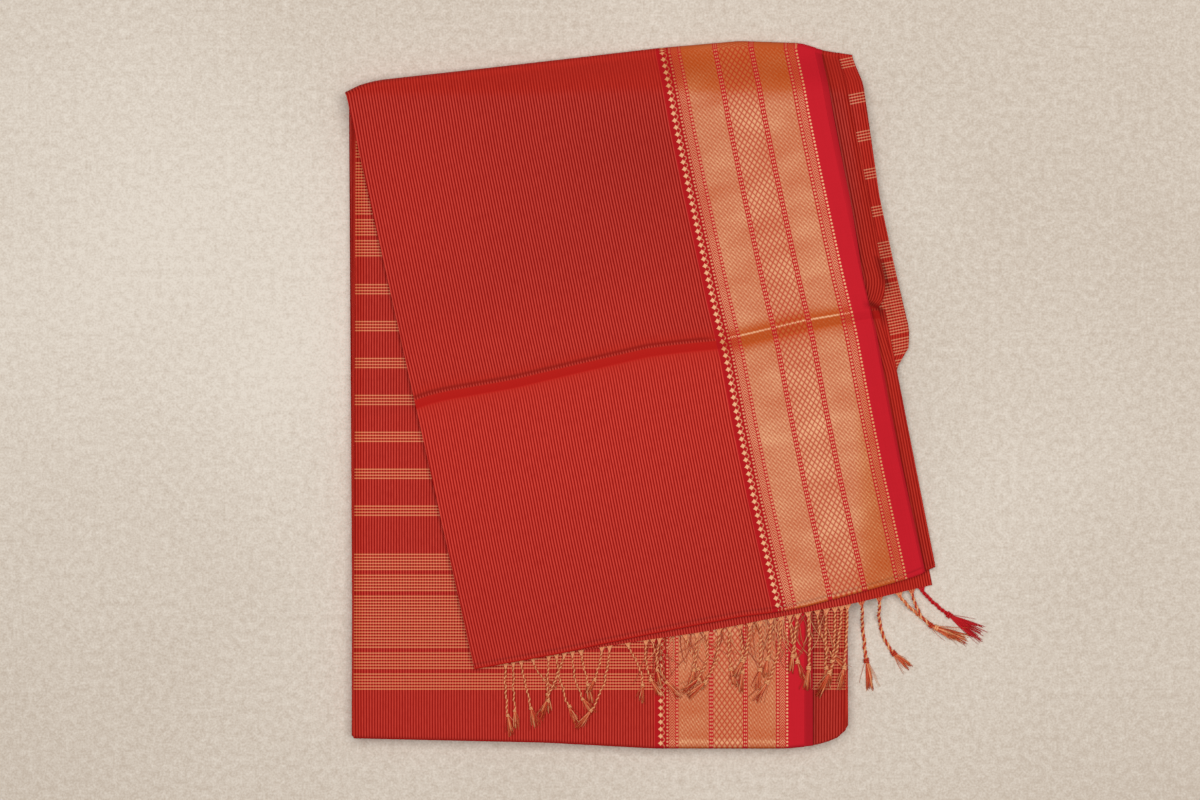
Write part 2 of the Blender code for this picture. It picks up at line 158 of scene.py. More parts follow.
NEAR_EDGE = table(
    Point, (-146.0, -188.2), (-32.6, -190.8), (32.0, -194.3), (108.3, -194.3), (124.2, -192.8),
    (131.0, -191.4), (138.0, -188.6), (142.0, -185.6), (146.0, -180.0))

FLAP_EDGE = table(
    Point, (-73.7, -147.3), (-23.5, -138.0), (0.0, -132.9), (23.5, -128.0), (58.7, -121.0),
    (82.2, -116.6), (104.2, -113.8), (120.0, -110.6), (182.8, -93.9), (200.0, -87.0))

HEM_EDGE = table(
    Point, (-72.7, -146.7), (-23.5, -138.0), (0.0, -134.5), (23.5, -130.7), (58.7, -125.8),
    (82.2, -121.2), (104.2, -116.8), (117.0, -114.6), (141.0, -110.3), (182.8, -101.5),
    (200.0, -98.0))

# Fold lines from the fringed end to the free end, each with its shift along Y, its left side and
# the widths of its selvedge plies and of its half fold
FOLDS = (
    Fold("hem", 0.0, 0.0, 269.5, 272.0),
    Fold("inner far", 0.0, -142.8, 264.6, 289.1),
    Fold("near", 0.0, -144.2, 266.5, 289.0),
    Fold("far", -1.2, -143.4, 268.5, 286.5),
    Fold("near", 1.4, -145.0, 270.0, 287.0),
    Fold("far", 0.3, -144.6, 269.0, 288.5),
    Fold("near", 0.5, -145.4, 271.5, 288.5),
    Fold("far", -0.8, -145.8, 270.5, 286.0),
    Fold("near", 1.8, -144.4, 269.0, 287.5),
    Fold("far", 0.0, -145.0, 271.0, 289.5),
    Fold("near", 0.2, -146.0, 272.0, 288.0),
    Fold("far", -1.5, -145.2, 270.0, 287.0),
    Fold("near", 1.0, -145.6, 272.5, 289.0),
    Fold("outer far", 0.0, 0.0, 273.8, 286.5),
    Fold("flap near", 0.0, 0.0, 272.8, 276.8),
    Fold("free end", 0.0, 0.0, 273.0, 280.0),
)
HEM_SPAN = 0
STACK_TOP_SPAN = 1
STACK_NEXT_SPAN = 2
STACK_LAST_SPAN = 12
FLAP_SPAN = 13
UNDER_SPAN = 14

# Widths past the selvedge plies, or across the whole span, by share of the span's length
FLAP_LIP = table(
    Share, (0.0, 12.7), (0.335, 11.1), (0.413, 10.3), (0.451, 10.5), (0.466, 9.9), (0.480, 8.7),
    (0.495, 6.9), (0.509, 3.5), (0.523, 2.8), (0.635, 5.3), (1.0, 3.6))

HEM_SPAN_WIDTH = table(
    Share, (0.0, 272.0), (0.37, 273.1), (0.41, 278.0), (0.44, 286.4), (0.48, 288.3),
    (0.60, 287.1), (0.73, 286.7), (0.95, 291.2), (1.0, 289.1))

# Width at which the face ply's selvedge lies, on the flap and on the stack top
FLAP_FACE_EDGE = table(
    Share, (0.0, 273.6), (0.05, 272.8), (0.13, 271.6), (0.24, 270.9), (0.44, 270.3),
    (0.55, 270.6), (0.67, 269.2), (0.80, 268.4), (1.0, 268.4))
STACK_FACE_STEP = 3.1
STACK_UNDER_STEP = 5.0
UNDER_EDGE_STEP = table(
    Share, (0.0, 3.6), (0.30, 3.2), (0.40, 1.8), (0.45, 0.8), (0.50, 0.8), (0.56, 1.4),
    (1.0, 1.6))
EDGE_CURL = 0.3
FLAP_STRETCH = 1.021
STACK_STRETCH = 0.977
SELVEDGE_START = 2.0

# Painted soft shadows at the steps between plies, at the near fold and behind the crease, and the
# share of painted shadow and painted sheen that parts away from the flap keep
STEP_SHADE = 0.45
LIP_SHADE = 0.16
LIP_EDGE_SHADE = 0.76
LIP_FADE = 1.3
QUIET_SHARE = 0.4
FOLD_SHADE = 0.45
CREST_SHADE = 0.6
CREST_SHADE_END = 172.0

# Painted sheen and painted shade: crest glint, dullness beside the crease and where the flap bends
# down to its far edge, and patches
CREST_GLINT = 1.7
CREST_REACH = 0.8
BEHIND_CREST_LEAN = 0.32
FOOT_LEAN = 0.45
FAR_SHEEN_START = 184.0
FAR_SHEEN_FADE = 19.0
SLOPE_PAINTED_SHADE = 0.62
SHEEN_LINE_Y = 31.5
SHEEN_LINE_SLOPE = 0.2125
LOWER_SHEEN = 1.35
UPPER_SHEEN = 0.65
LEFT_SHEEN = Patch(-112.0, 120.0, 50.0, 70.0, 0.65)
FAR_SHADE = Patch(22.0, 152.0, 42.0, 32.0, 0.10)
NEAR_SHADE = 0.55
NEAR_SHEEN = 1.05

# Painted soft shadows along lines: ends in plan, half width and strength
SHADE_LINES = (
    (164.6, 91.0, 168.8, 75.0, 1.7, 1.0),
    (166.2, 97.0, 164.4, 104.0, 1.2, 0.5),
    (158.0, 66.0, 164.0, 63.0, 2.2, 1.0),
    (169.6, 65.5, 171.2, 59.5, 0.9, 0.7),
)

# Place of the crease on the flap, by width
CREASE_LINE = table(
    Share, (0.531, 0.0), (0.528, 60.0), (0.512, 140.0), (0.516, 185.0), (0.500, 275.0))

# Strands: root along the hem, length in plan, heading and turn in degrees, frayed end,
# half thickness, and thread: -1 is crimson, and beside the stack 0 is red with gold, 1 gold
STRANDS = (
    Strand(17.5, 40.0, -2.0, 16.0, 9.0, 0.5, 1),
    Strand(22.0, 37.0, 0.0, 6.0, 8.0, 0.45, 1),
    Strand(26.5, 38.0, 12.0, 4.0, 9.0, 0.5, 1),
    Strand(33.5, 21.0, 22.0, 45.0, 6.0, 0.4, 0),
    Strand(43.0, 31.0, -4.0, 10.0, 8.0, 0.5, 1),
    Strand(47.5, 41.0, 8.0, 22.0, 9.0, 0.5, 1),
    Strand(52.5, 39.0, -22.0, 2.0, 9.0, 0.5, 1),
    Strand(57.0, 37.0, 2.0, 40.0, 8.0, 0.45, 1),
    Strand(62.0, 29.0, 14.0, -6.0, 8.0, 0.5, 1),
    Strand(74.5, 26.0, -8.0, -22.0, 6.0, 0.5, 1),
    Strand(79.0, 50.0, -4.0, -42.0, 10.0, 0.5, 1),
    Strand(89.5, 35.0, 36.0, -52.0, 8.0, 0.5, 1),
    Strand(100.5, 33.0, -4.0, 46.0, 9.0, 0.55, 1),
    Strand(104.5, 36.0, 10.0, 34.0, 9.0, 0.5, 1),
    Strand(108.5, 26.0, -12.0, 30.0, 7.0, 0.5, 1),
    Strand(123.5, 31.0, 26.0, -14.0, 9.0, 0.55, 1),
    Strand(130.5, 29.0, -2.0, -14.0, 7.0, 0.5, 1),
    Strand(136.0, 38.0, 10.0, -74.0, 9.0, 0.55, 1),
    Strand(143.5, 43.0, 2.0, -62.0, 10.0, 0.6, 1),
    Strand(150.0, 33.0, -4.0, 22.0, 8.0, 0.6, 0),
    Strand(156.0, 37.0, 8.0, -18.0, 9.0, 0.6, 0),
    Strand(162.0, 31.0, -2.0, -34.0, 8.0, 0.65, 0),
    Strand(168.0, 38.0, 4.0, -14.0, 9.0, 0.65, 0),
    Strand(174.5, 32.0, -2.0, -10.0, 8.0, 0.65, 0),
    Strand(180.5, 50.0, 0.0, -40.0, 10.0, 0.65, 0),
    Strand(185.5, 36.0, 8.0, 10.0, 8.0, 0.65, 0),
    Strand(190.5, 33.0, -9.0, 4.0, 8.0, 0.65, 0),
    Strand(196.5, 43.0, 5.0, -14.0, 10.0, 0.7, 0),
    Strand(202.0, 38.0, 6.0, 52.0, 9.0, 0.6, 0),
    Strand(207.5, 44.0, -3.0, 10.0, 9.0, 0.65, 0),
    Strand(212.5, 41.0, 1.0, -14.0, 9.0, 0.65, 0),
    Strand(216.5, 52.0, -3.0, -28.0, 12.0, 0.65, 0),
    Strand(220.0, 47.0, -1.0, -8.0, 10.0, 0.65, 0),
    Strand(228.5, 50.0, 6.0, 2.0, 13.0, 0.75, 0),
    Strand(239.5, 46.0, -2.0, 62.0, 9.0, 0.75, 0),
    Strand(251.5, 48.0, 42.0, 34.0, 15.0, 0.75, 1),
    Strand(259.5, 38.0, 14.0, 70.0, 12.0, 0.7, 0),
    Strand(265.5, 44.5, 44.0, 22.0, 19.0, 0.8, -1),
)


# Settings


def colour(name, description, value):
    """Colour setting with its name, description and first value."""
    return FloatVectorProperty(name=name, description=description, default=value,
                               subtype="COLOR", size=3)


class SariSizes(PropertyGroup):
    """Sizes of the cloth and its weave."""

    cloth_width: FloatProperty(
        name="Cloth width",
        description="Width of the open cloth, selvedge to selvedge",
        default=1.112, unit="LENGTH")
    ply_thickness: FloatProperty(
        name="Cloth thickness",
        description="Thickness of one ply of the silk",
        default=0.00016, unit="LENGTH")
    crease_height: FloatProperty(
        name="Crease height",
        description="Height of the storage crease across the flap",
        default=0.002, unit="LENGTH")
    stripe_pitch: FloatProperty(
        name="Stripe pitch",
        description="Distance between the fine stripes along the body",
        default=0.00165, unit="LENGTH")
    band_pitch: FloatProperty(
        name="Cross line pitch",
        description="Distance between the gold lines of the cross bands",
        default=0.00175, unit="LENGTH")
    cord_twist: FloatProperty(
        name="Cord twist",
        description="Length of one turn of a fringe cord",
        default=0.005, unit="LENGTH")
    tuft_threads: IntProperty(
        name="Threads in a tuft",
        description="Loose threads at the end of each cord",
        default=12, min=4, max=30)


class SariColours(PropertyGroup):
    """Colours of the threads."""

    ground: colour("Ground", "Dark red ground of the body", (0.268, 0.004, 0.003))
    stripe: colour("Stripe", "Bright thread of the fine stripes", (0.61, 0.042, 0.024))
    # Painted shade: the even red that the silk is painted where it leans away from the light
    slope: colour("Slope", "Even red of the silk where it turns away", (0.55, 0.027, 0.017))
    selvedge: colour("Selvedge", "Plain crimson edge", (0.61, 0.0145, 0.026))
    # Deep, plain and bright gold are picked by the woven level plus painted light, so deep gold also
    # serves as painted shade and bright gold as the painted glint and highlight
    deep_gold: colour(
        "Deep gold", "Metal thread that does not catch the light", (0.54, 0.085, 0.014))
    gold: colour("Gold", "Metal thread of the border", (0.60, 0.168, 0.058))
    bright_gold: colour(
        "Bright gold", "Metal thread where it floats over the lattice", (0.84, 0.44, 0.20))
    band: colour("Cross lines", "Thread of the lines of the cross bands", (0.80, 0.26, 0.105))
    pale_band: colour(
        "Pale cross lines", "Thread of the cross lines at the fringed end", (0.76, 0.29, 0.16))
    fringe_red: colour("Fringe red", "Red thread of the fringe", (0.62, 0.060, 0.024))
    fringe_gold: colour("Fringe gold", "Gold thread of the fringe", (1.0, 0.51, 0.24))
    fringe_crimson: colour(
        "Fringe crimson", "Thread of the outermost cord", (0.64, 0.013, 0.022))
    fringe_orange: colour(
        "Fringe orange", "Orange thread twisted with the gold", (0.80, 0.19, 0.06))
    fringe_amber: colour(
        "Fringe amber", "Brown-gold thread of the thin cords", (0.60, 0.108, 0.040))
    # Dark loose threads: partly the fringe's own dark brown thread, partly painted shade that stands
    # in for the shadowed gaps between the cords
    fringe_shade: colour("Fringe shade", "Dark loose thread", (0.44, 0.055, 0.022))


class SariStage(PropertyGroup):
    """Floor, light and camera."""

    floor: colour("Floor", "Colour of the floor", (0.725, 0.64, 0.55))
    light_power: FloatProperty(
        name="Light power", description="Power of the large soft lamp, in watts",
        default=45.0, min=0.0)
    sky_strength: FloatProperty(
        name="Fill light", description="Strength of the even light from all round",
        default=0.24, min=0.0)
    camera_distance: FloatProperty(
        name="Camera distance", description="Height of the camera over the cloth",
        default=1.957, unit="LENGTH")
    focal_length: FloatProperty(
        name="Lens", description="Focal length in millimetres",
        default=100.0, min=10.0)


# The folded shape


def smooth(value):
    """Ease from 0 to 1 as value goes from 0 to 1."""
    t = np.clip(value, 0.0, 1.0)
    return t * t * (3.0 - 2.0 * t)


def edge_y(points, x):
    """Height in plan of an outline at a place along X."""
    return np.interp(x, [p.x for p in points], [p.y for p in points])


def share_at(table, along):
    """Width read from a table of shares."""
    return np.interp(along, [row.along for row in table], [row.width for row in table])


def across_edge(points, width):
    """Point of an outline at a width measured square to the turned flap."""
    start = points[0]
    reach = [(p.x - start.x) * math.cos(FLAP_TURN) + (p.y - start.y) * math.sin(FLAP_TURN)
             for p in points]
    last = points[-1]
    extra = np.maximum(np.asarray(width) - reach[-1], 0.0)
    x = np.interp(width, reach, [p.x for p in points]) + extra * math.cos(FLAP_TURN)
    y = np.interp(width, reach, [p.y for p in points]) + extra * math.sin(FLAP_TURN)
    return np.minimum(x, last.x + extra), y


def fold_point(fold, width):
    """Plan position of a fold line at a width from the left fold."""
    if fold.kind == "hem":
        return across_edge(HEM_EDGE, width)
    if fold.kind == "flap near":
        x, y = across_edge(FLAP_EDGE, width)
        return x, y + PITCH
    if fold.kind == "outer far":
        x, y = across_edge(FAR_EDGE, width)
        return x, y - OUTER_BULGE - PACKET / 2
    x = fold.left + width
    if fold.kind == "near":
        return x, edge_y(NEAR_EDGE, x) + fold.shift + PITCH
    if fold.kind == "inner far":
        reach = INNER_REACH * smooth((x - INNER_REACH_START) / INNER_REACH_FADE)
        return x, edge_y(FAR_EDGE, x) - OUTER_BULGE - PACKET - INNER_SETBACK + reach
    return x, INNER_TOP_Y + fold.shift + 0.0 * x


def wave(x, y):
    """Slow unevenness of the pile."""
    return WAVE_HEIGHT * (np.sin(x / WAVE_X * 2.0 + 0.7) * np.cos(y / WAVE_Y * 2.0) - 0.3)


def far_drop(y):
    """Share of the way down from the stack's top to the floor, past its far folds."""
    return smooth((y - TOP_DROOP_START) / TOP_DROOP_REACH)


def right_drop(x):
    """Share of the way down past the stack's right side."""
    return smooth((x - STACK_RIGHT) / RIGHT_DROOP_REACH)


def stack_centre(number, x, y):
    """Height of the middle of a stack level; level 0 lies on the floor."""
    height = PACKET / 2 + PITCH * number + wave(x, y) * number / (STACK_LEVELS - 1)
    if number < STACK_LEVELS - 1:
        return height
    low = PACKET * 1.5 + LEVEL_GAP + FLAP_EASE
    return height + (low - height) * far_drop(y)


def hem_centre(x, y):
    """Height of the middle of the fringed span."""
    top = STACK_LEVELS * PITCH + FLAP_EASE + wave(x, y)
    rest = top + (TOP_REST + LEVEL_GAP - top) * far_drop(y)
    return rest + (FLOOR_CLEAR - rest) * right_drop(x) + PACKET / 2


def crease_shift(width, share):
    """Shift along a flap column so that the crease follows its slanted line."""
    line = np.interp(width, [row.width for row in CREASE_LINE],
                     [row.along for row in CREASE_LINE]) - CREASE_AT
    if share < CREASE_AT:
        return line * share / CREASE_AT
    return line * (1.0 - share) / (1.0 - CREASE_AT)


def far_slope_lift(x, y):
    """Extra height that keeps the flap sloping down to its far edge."""
    edge = edge_y(FAR_EDGE, x) - OUTER_BULGE - PACKET / 2
    part = np.clip((y - TOP_DROOP_START) / np.maximum(edge - TOP_DROOP_START, 1.0), 0.0, 1.0)
    lift = SLOPE_LIFT * smooth((edge - SLOPE_LIFT_START) / SLOPE_LIFT_FADE)
    return lift * part ** 1.5 * (1.0 - part)


def ripple(x, y):
    """Faint soft undulations of the flap."""
    return RIPPLE_HEIGHT * np.sin(x / 17.0 + y / 41.0) * np.sin(y / 23.0 - x / 60.0 + 1.0)


def crease_profile(distance):
    """Height share of the pressed crease: a slow rise, a sharp crest and a steep near side."""
    crest = CREST_HALF
    if abs(distance) < crest:
        return 1.0
    if distance < 0.0:
        return math.exp((distance + crest) / CREASE_HALF)
    fall = (distance - crest) / (CREASE_FOOT - crest)
    return max(0.0, 1.0 - fall) - CREASE_DIP * math.exp(-abs(distance - CREASE_FOOT))


def span_surface(span, share, width, crease_height):
    """Middle of the packet on a span, as x, y and z arrays."""
    start, end = FOLDS[span], FOLDS[span + 1]
    along = share
    if span == FLAP_SPAN:
        along = share + crease_shift(width, share)
    if span == UNDER_SPAN:
        end = FOLDS[FLAP_SPAN]
        along = share * UNDER_SHARE
    x0, y0 = fold_point(start, width)
    x1, y1 = fold_point(end, width)
    x = x0 + (x1 - x0) * along
    y = y0 + (y1 - y0) * along
    if span == HEM_SPAN:
        return x, y, hem_centre(x, y)
    if span == FLAP_SPAN:
        rise = PITCH + 1.5 * UNDER_EASE - FLAP_OVER_END_EASE
        lift = FLAP_OVER_END_EASE + rise * smooth((share - FLAP_RISE_START) / FLAP_RISE_FADE)
        crease = crease_height * crease_profile((share - CREASE_AT) * FLAP_LENGTH)
        z = hem_centre(x, y) + PITCH + lift + crease + 2.0 * DROOP_EASE * right_drop(x)
        return x, y, z + far_slope_lift(x, y) + ripple(x, y)
    if span == UNDER_SPAN:
        z = hem_centre(x, y) + PITCH + UNDER_EASE + DROOP_EASE * right_drop(x)
        return x, y, z
    return x, y, stack_centre(STACK_LEVELS - span, x, y)


def span_faces_up(span):
    """Whether the face side of the cloth is on top in a span."""
    if span == FLAP_SPAN:
        return True
    if span == UNDER_SPAN:
        return False
    return span % 2 == 1


def span_widths(span, share):
    """Widths of the selvedge plies and of the half fold at a share of a span."""
    start, end = FOLDS[span], FOLDS[span + 1]
    selvedge = start.selvedge + (end.selvedge - start.selvedge) * share
    half_fold = start.half_fold + (end.half_fold - start.half_fold) * share
    if span == HEM_SPAN:
        side = HEM_SIDE_REACH * smooth((share - HEM_SIDE_START) / HEM_SIDE_FADE)
        half_fold = share_at(HEM_SPAN_WIDTH, share) + side
    if span == FLAP_SPAN:
        half_fold = selvedge + share_at(FLAP_LIP, share)
    if span == STACK_TOP_SPAN:
        half_fold -= STACK_NEAR_TRIM * share
    return float(selvedge), float(half_fold)


def face_edge(span, share, selvedge):
    """Width of the face selvedge, of the under selvedge, and how far the weave is stretched."""
    if span in (FLAP_SPAN, UNDER_SPAN) or (span == STACK_LAST_SPAN and share > 0.99):
        place = share if span == FLAP_SPAN else float(span == UNDER_SPAN)
        edge = float(share_at(FLAP_FACE_EDGE, place))
        return edge, edge + float(share_at(UNDER_EDGE_STEP, place)), FLAP_STRETCH
    edge = selvedge - STACK_FACE_STEP
    return edge, edge + STACK_UNDER_STEP, STACK_STRETCH


def fold_outward(fold, width):
    """Direction in plan, square to a fold line and away from the pile."""
    x0, y0 = fold_point(fold, width - 1.0)
    x1, y1 = fold_point(fold, width + 1.0)
    step = np.stack([x1 - x0, y1 - y0], axis=-1)
    step /= np.linalg.norm(step, axis=-1)[:, None]
    out = np.stack([-step[:, 1], step[:, 0]], axis=-1)
    wanted = 1.0 if "far" in fold.kind else -1.0
    return out * np.sign(out[:, 1] * wanted)[:, None]


def station_points(station, width, offset, crease_height):
    """Points of a cross-section for places across it and offsets towards its face side."""
    span, share, turn = station
    if turn is None:
        x, y, z = span_surface(span, share, width, crease_height)
        sign = 1.0 if span_faces_up(span) else -1.0
        return np.stack([x, y, z + sign * offset], axis=-1)
    fold = FOLDS[span + 1]
    x, y, z_before = span_surface(span, 1.0, width, crease_height)
    z_after = span_surface(span + 1, 0.0, width, crease_height)[2]
    middle = (z_before + z_after) / 2
    high = (z_before - z_after) / 2
    reach = np.abs(high)
    if fold.kind == "outer far":
        reach = np.full_like(high, OUTER_BULGE)
    out = fold_outward(fold, width)
    angle = math.pi * turn
    side = np.abs(high) * math.sin(angle)
    up = np.sign(high) * reach * math.cos(angle)
    size = np.sqrt(side * side + up * up)
    outside = 1.0 if ((span + 1) % 2 == 0 or fold.kind == "outer far") else -1.0
    shift = offset * outside
    plan = reach * math.sin(angle) + shift * side / size
    points = np.empty((len(x), 3))
    points[:, 0] = x + out[:, 0] * plan
    points[:, 1] = y + out[:, 1] * plan
    points[:, 2] = middle + high * math.cos(angle) + shift * up / size
    return points


def fold_v(index):
    """Place along the cloth, from the fringed end, of a fold line at the middle of its width."""
    if index <= STACK_NEXT_SPAN:
        return BAND_ORIGIN - float(fold_point(FOLDS[index], MIDDLE_WIDTH)[1])
    before, after = FOLDS[index - 1], FOLDS[min(index, FLAP_SPAN)]
    x0, y0 = fold_point(before, MIDDLE_WIDTH)
    x1, y1 = fold_point(after, MIDDLE_WIDTH)
    return fold_v(index - 1) + loop_length(index - 1) + math.hypot(x1 - x0, y1 - y0)


def loop_length(index):
    """Length of cloth taken by the turn at a fold line."""
    return OUTER_TURN_LENGTH if FOLDS[index].kind == "outer far" else math.pi * PITCH / 2


def station_v(station, width, crease_height):
    """Place along the cloth of a cross-section."""
    span, share, turn = station
    if turn is not None:
        before = station_v(Station(span, 1.0, None), width, crease_height)
        after = station_v(Station(span + 1, 0.0, None), width, crease_height)
        return before + (after - before) * turn
    x, y = span_surface(span, share, width, crease_height)[:2]
    if span == HEM_SPAN:
        side = np.array([HEM_SIDE_WIDTH])
        x0, y0 = span_surface(span, 0.0, side, crease_height)[:2]
        up = (y - y0) * math.cos(FLAP_TURN) - (x - x0) * math.sin(FLAP_TURN)
        return up * HEM_STRETCH
    if span == STACK_TOP_SPAN:
        return BAND_ORIGIN - y
    if span in (FLAP_SPAN, UNDER_SPAN):
        x0, y0 = span_surface(FLAP_SPAN, 0.0, np.array([MIDDLE_WIDTH]), crease_height)[:2]
        down = (x - x0) * math.sin(FLAP_TURN) - (y - y0) * math.cos(FLAP_TURN)
        begin = fold_v(FLAP_SPAN) + loop_length(FLAP_SPAN)
        return begin + down if span == FLAP_SPAN else begin + 2.0 * FLAP_LENGTH - down
    first = fold_v(span) + loop_length(span)
    return first + share * (fold_v(span + 1) - first) + 0.0 * width


# Cloth


PlyCounts = namedtuple("PlyCounts", "face second third back fine")
FINE_FROM = 215.0
SIDE_COLUMNS = (278.5, 280.5, 282.5)
FACE_ROOM = 0.8
RIM_WIDTH = 0.002
LEVEL_ROWS = (0.0, 0.015, 0.06, 0.2, 0.4, 0.6, 0.8, 0.94, 0.985, 1.0)
NEAR_ROWS = np.array([8.0, 6.5, 5.2, 4.2, 3.2, 2.4, 1.6, 0.8, 0.0])
STACK_TOP_LENGTH = 370.0
CREASE_ROWS = np.array([-14.0, -11.0, -8.5, -6.5, -5.0, -3.8, -2.8, -2.0, -1.4, -0.9, -0.5, 0.0,
                        0.5, 0.9, 2.0, 3.5, 4.8, 5.4, 5.8, 6.4, 7.6, 9.5, 12.0, 15.0])
FLAP_END_ROWS = np.array([3.0, 2.2, 1.6, 1.1, 0.6, 0.0])


def spread(count, fine, end):
    """Places from 0 to end, closer together past the stack's edge."""
    return np.concatenate([np.linspace(0.0, FINE_FROM, count, endpoint=False),
                           np.linspace(FINE_FROM, end, fine)])


def ply_columns(counts, edges, half_fold, cloth_width):
    """Places across, offsets, places on the open cloth and ply number of every column."""
    selvedge, under_edge, stretch = edges
    inset = 0.25
    face_w = spread(counts.face, counts.fine, selvedge)[::-1]
    sides = np.minimum(SIDE_COLUMNS, half_fold - np.array([0.6, 0.4, 0.2]))
    back_w = np.sort(np.append(spread(counts.back, counts.fine, half_fold), sides))
    third_w = inset + spread(counts.third, counts.fine, half_fold - inset)[::-1]
    step = np.array([-0.5, 0.35, 1.3, 2.4])
    third_w = np.sort(np.append(third_w, np.minimum(under_edge + step, half_fold - 0.1)))[::-1]
    second_w = inset + spread(counts.second, counts.fine, under_edge - inset)
    width = np.concatenate([face_w, [-0.28], back_w, [half_fold + 0.12], third_w,
                            [inset - 0.12], second_w])
    offset = np.concatenate([
        np.full(len(face_w), OUTER_PLY), [0.0],
        np.full(len(back_w), -OUTER_PLY), [-(OUTER_PLY + INNER_PLY) / 2],
        np.full(len(third_w), -INNER_PLY), [0.0],
        np.full(len(second_w), INNER_PLY)])
    ply = np.concatenate([np.zeros(len(face_w) + 1), np.full(len(back_w) + 1, 1),
                          np.full(len(third_w) + 1, 2), np.full(len(second_w), 3)])
    face_u = (selvedge - face_w) / stretch
    rest = np.concatenate([[0.0], back_w, [half_fold], 2.0 * half_fold - third_w,
                           [2.0 * half_fold], 2.0 * half_fold + second_w])
    rest_u = face_u[-1] + rest * (cloth_width - face_u[-1]) / rest[-1]
    return width, offset, np.concatenate([face_u, rest_u]), ply


def ply_shade(station, width, ply, edges):
    """Painted soft shadow at the steps between the plies of a cross-section, at the flap's near fold
    and behind its crest.
    """
    edge, under_edge = edges[:2]
    under = (ply == 3) * smooth((width - edge + 0.6) / 0.6)
    past = np.maximum(width - under_edge, 0.0)
    lip = LIP_SHADE + LIP_EDGE_SHADE * np.exp(-past / LIP_FADE)
    lip = (ply == 2) * (width > under_edge - 0.6) * lip
    shade = np.maximum(under * STEP_SHADE, lip)
    if station.span not in (FLAP_SPAN, STACK_TOP_SPAN):
        shade = shade * QUIET_SHARE
    if station.span == FLAP_SPAN:
        from_end = (1.0 - station.share) * FLAP_LENGTH
        shade = np.maximum(shade, FOLD_SHADE * math.exp(-((from_end - 1.8) / 0.5) ** 2))
        past_crest = (station.share - CREASE_AT) * FLAP_LENGTH
        crest_line = CREST_SHADE * math.exp(-((past_crest + 1.3) / 0.9) ** 2)
        shade = np.maximum(shade, crest_line * (1.0 - smooth((width - CREST_SHADE_END) / 8.0)))
    return shade


def station_light(station):
    """Extra painted turn from the light, painted glint of the crest and share of the flap's broad
    painted sheen.
    """
    if station.span != FLAP_SPAN:
        return 0.0, 0.0, QUIET_SHARE
    past_crest = (station.share - CREASE_AT) * FLAP_LENGTH
    glint = CREST_GLINT * math.exp(-(past_crest / 0.6) ** 2)
    if abs(past_crest) < CREST_REACH:
        return 0.0, glint, 1.0
    if past_crest < 0.0:
        return BEHIND_CREST_LEAN * math.exp((past_crest + CREST_REACH) / 2.4), glint, 1.0
    past_foot = max(past_crest - CREASE_FOOT, 0.0)
    lean = FOOT_LEAN * (math.exp(-past_foot / 1.8) + math.exp(-past_foot / 7.0))
    return lean, glint, 1.0


def soft_patch(patch, x, y):
    """Strength of a soft oval patch of painted light or painted shadow."""
    return patch.strength * np.exp(-((x - patch.x) / patch.half_x) ** 2
                                   - ((y - patch.y) / patch.half_y) ** 2)


def body_sheen(x, y):
    """Broad painted sheen of the flap: strongest below the crease, weak above it."""
    below = SHEEN_LINE_Y + SHEEN_LINE_SLOPE * x - y
    lower = LOWER_SHEEN * smooth(below / 5.0) * np.exp(-((below - 15.0) / 125.0) ** 2)
    upper = UPPER_SHEEN * np.exp(-((below + 22.0) / 26.0) ** 2) * (below < 0.0)
    upper = upper * (1.0 - 0.6 * smooth((x - 10.0) / 60.0))
    return np.maximum(lower, upper + soft_patch(LEFT_SHEEN, x, y))


def line_shade(x, y):
    """Painted soft shadow along the listed lines beside the flap."""
    shade = np.zeros_like(x)
    for x0, y0, x1, y1, half, strength in SHADE_LINES:
        along = ((x - x0) * (x1 - x0) + (y - y0) * (y1 - y0)) / ((x1 - x0) ** 2 + (y1 - y0) ** 2)
        along = np.clip(along, 0.0, 1.0)
        away = np.hypot(x - x0 - along * (x1 - x0), y - y0 - along * (y1 - y0))
        shade = np.maximum(shade, strength * np.exp(-(away / half) ** 2))
    return shade


def light_values(points, normal, shade, extra):
    """How far each point turns from the light, its painted soft shadow and its painted sheen."""
    x, y = points[:, :, 0], points[:, :, 1]
    rise = np.abs(normal[:, :, 2]) + 1e-6
    along = np.degrees(np.arctan2(np.abs(normal[:, :, 1]), rise))
    across = np.degrees(np.arctan2(np.abs(normal[:, :, 0]), rise))
    lean = smooth((along - 3.0) / 21.0) + 0.4 * smooth((across - 6.0) / 24.0)
    # Painted dullness where the cloth bends down to its far edge, and a painted turn from the light
    # towards the stack's near end
    fade = SLOPE_PAINTED_SHADE * smooth((y - FAR_SHEEN_START) / FAR_SHEEN_FADE)
    lean = np.where(y > FAR_SHEEN_START, fade, lean) + 0.15 * smooth((-y - 115.0) / 50.0)
    more_lean, glint, gain = np.array(extra).T[:, :, None]
    lean = np.maximum(lean, more_lean)
    # Painted shade: a patch on the flap's body, a strip along the stack's near edge and the listed
    # lines
    near = y - edge_y(NEAR_EDGE, x)
    shade = np.maximum(shade, soft_patch(FAR_SHADE, x, y))
    shade = np.maximum(shade, NEAR_SHADE * (1.0 - smooth((near - 0.8) / 1.8)) * (near < 6.0))
    shade = np.maximum(shade, line_shade(x, y))
    # Painted sheen; the crest glint and the highlight by the near edge are negative, which the silk
    # material turns into brighter gold
    sheen = body_sheen(x, y) * gain - glint
    sheen = sheen - NEAR_SHEEN * np.exp(-((near - 4.4) / 1.5) ** 2)
    return np.stack([np.clip(lean, 0.0, 1.0), np.clip(shade, 0.0, 1.0), sheen], axis=-1)


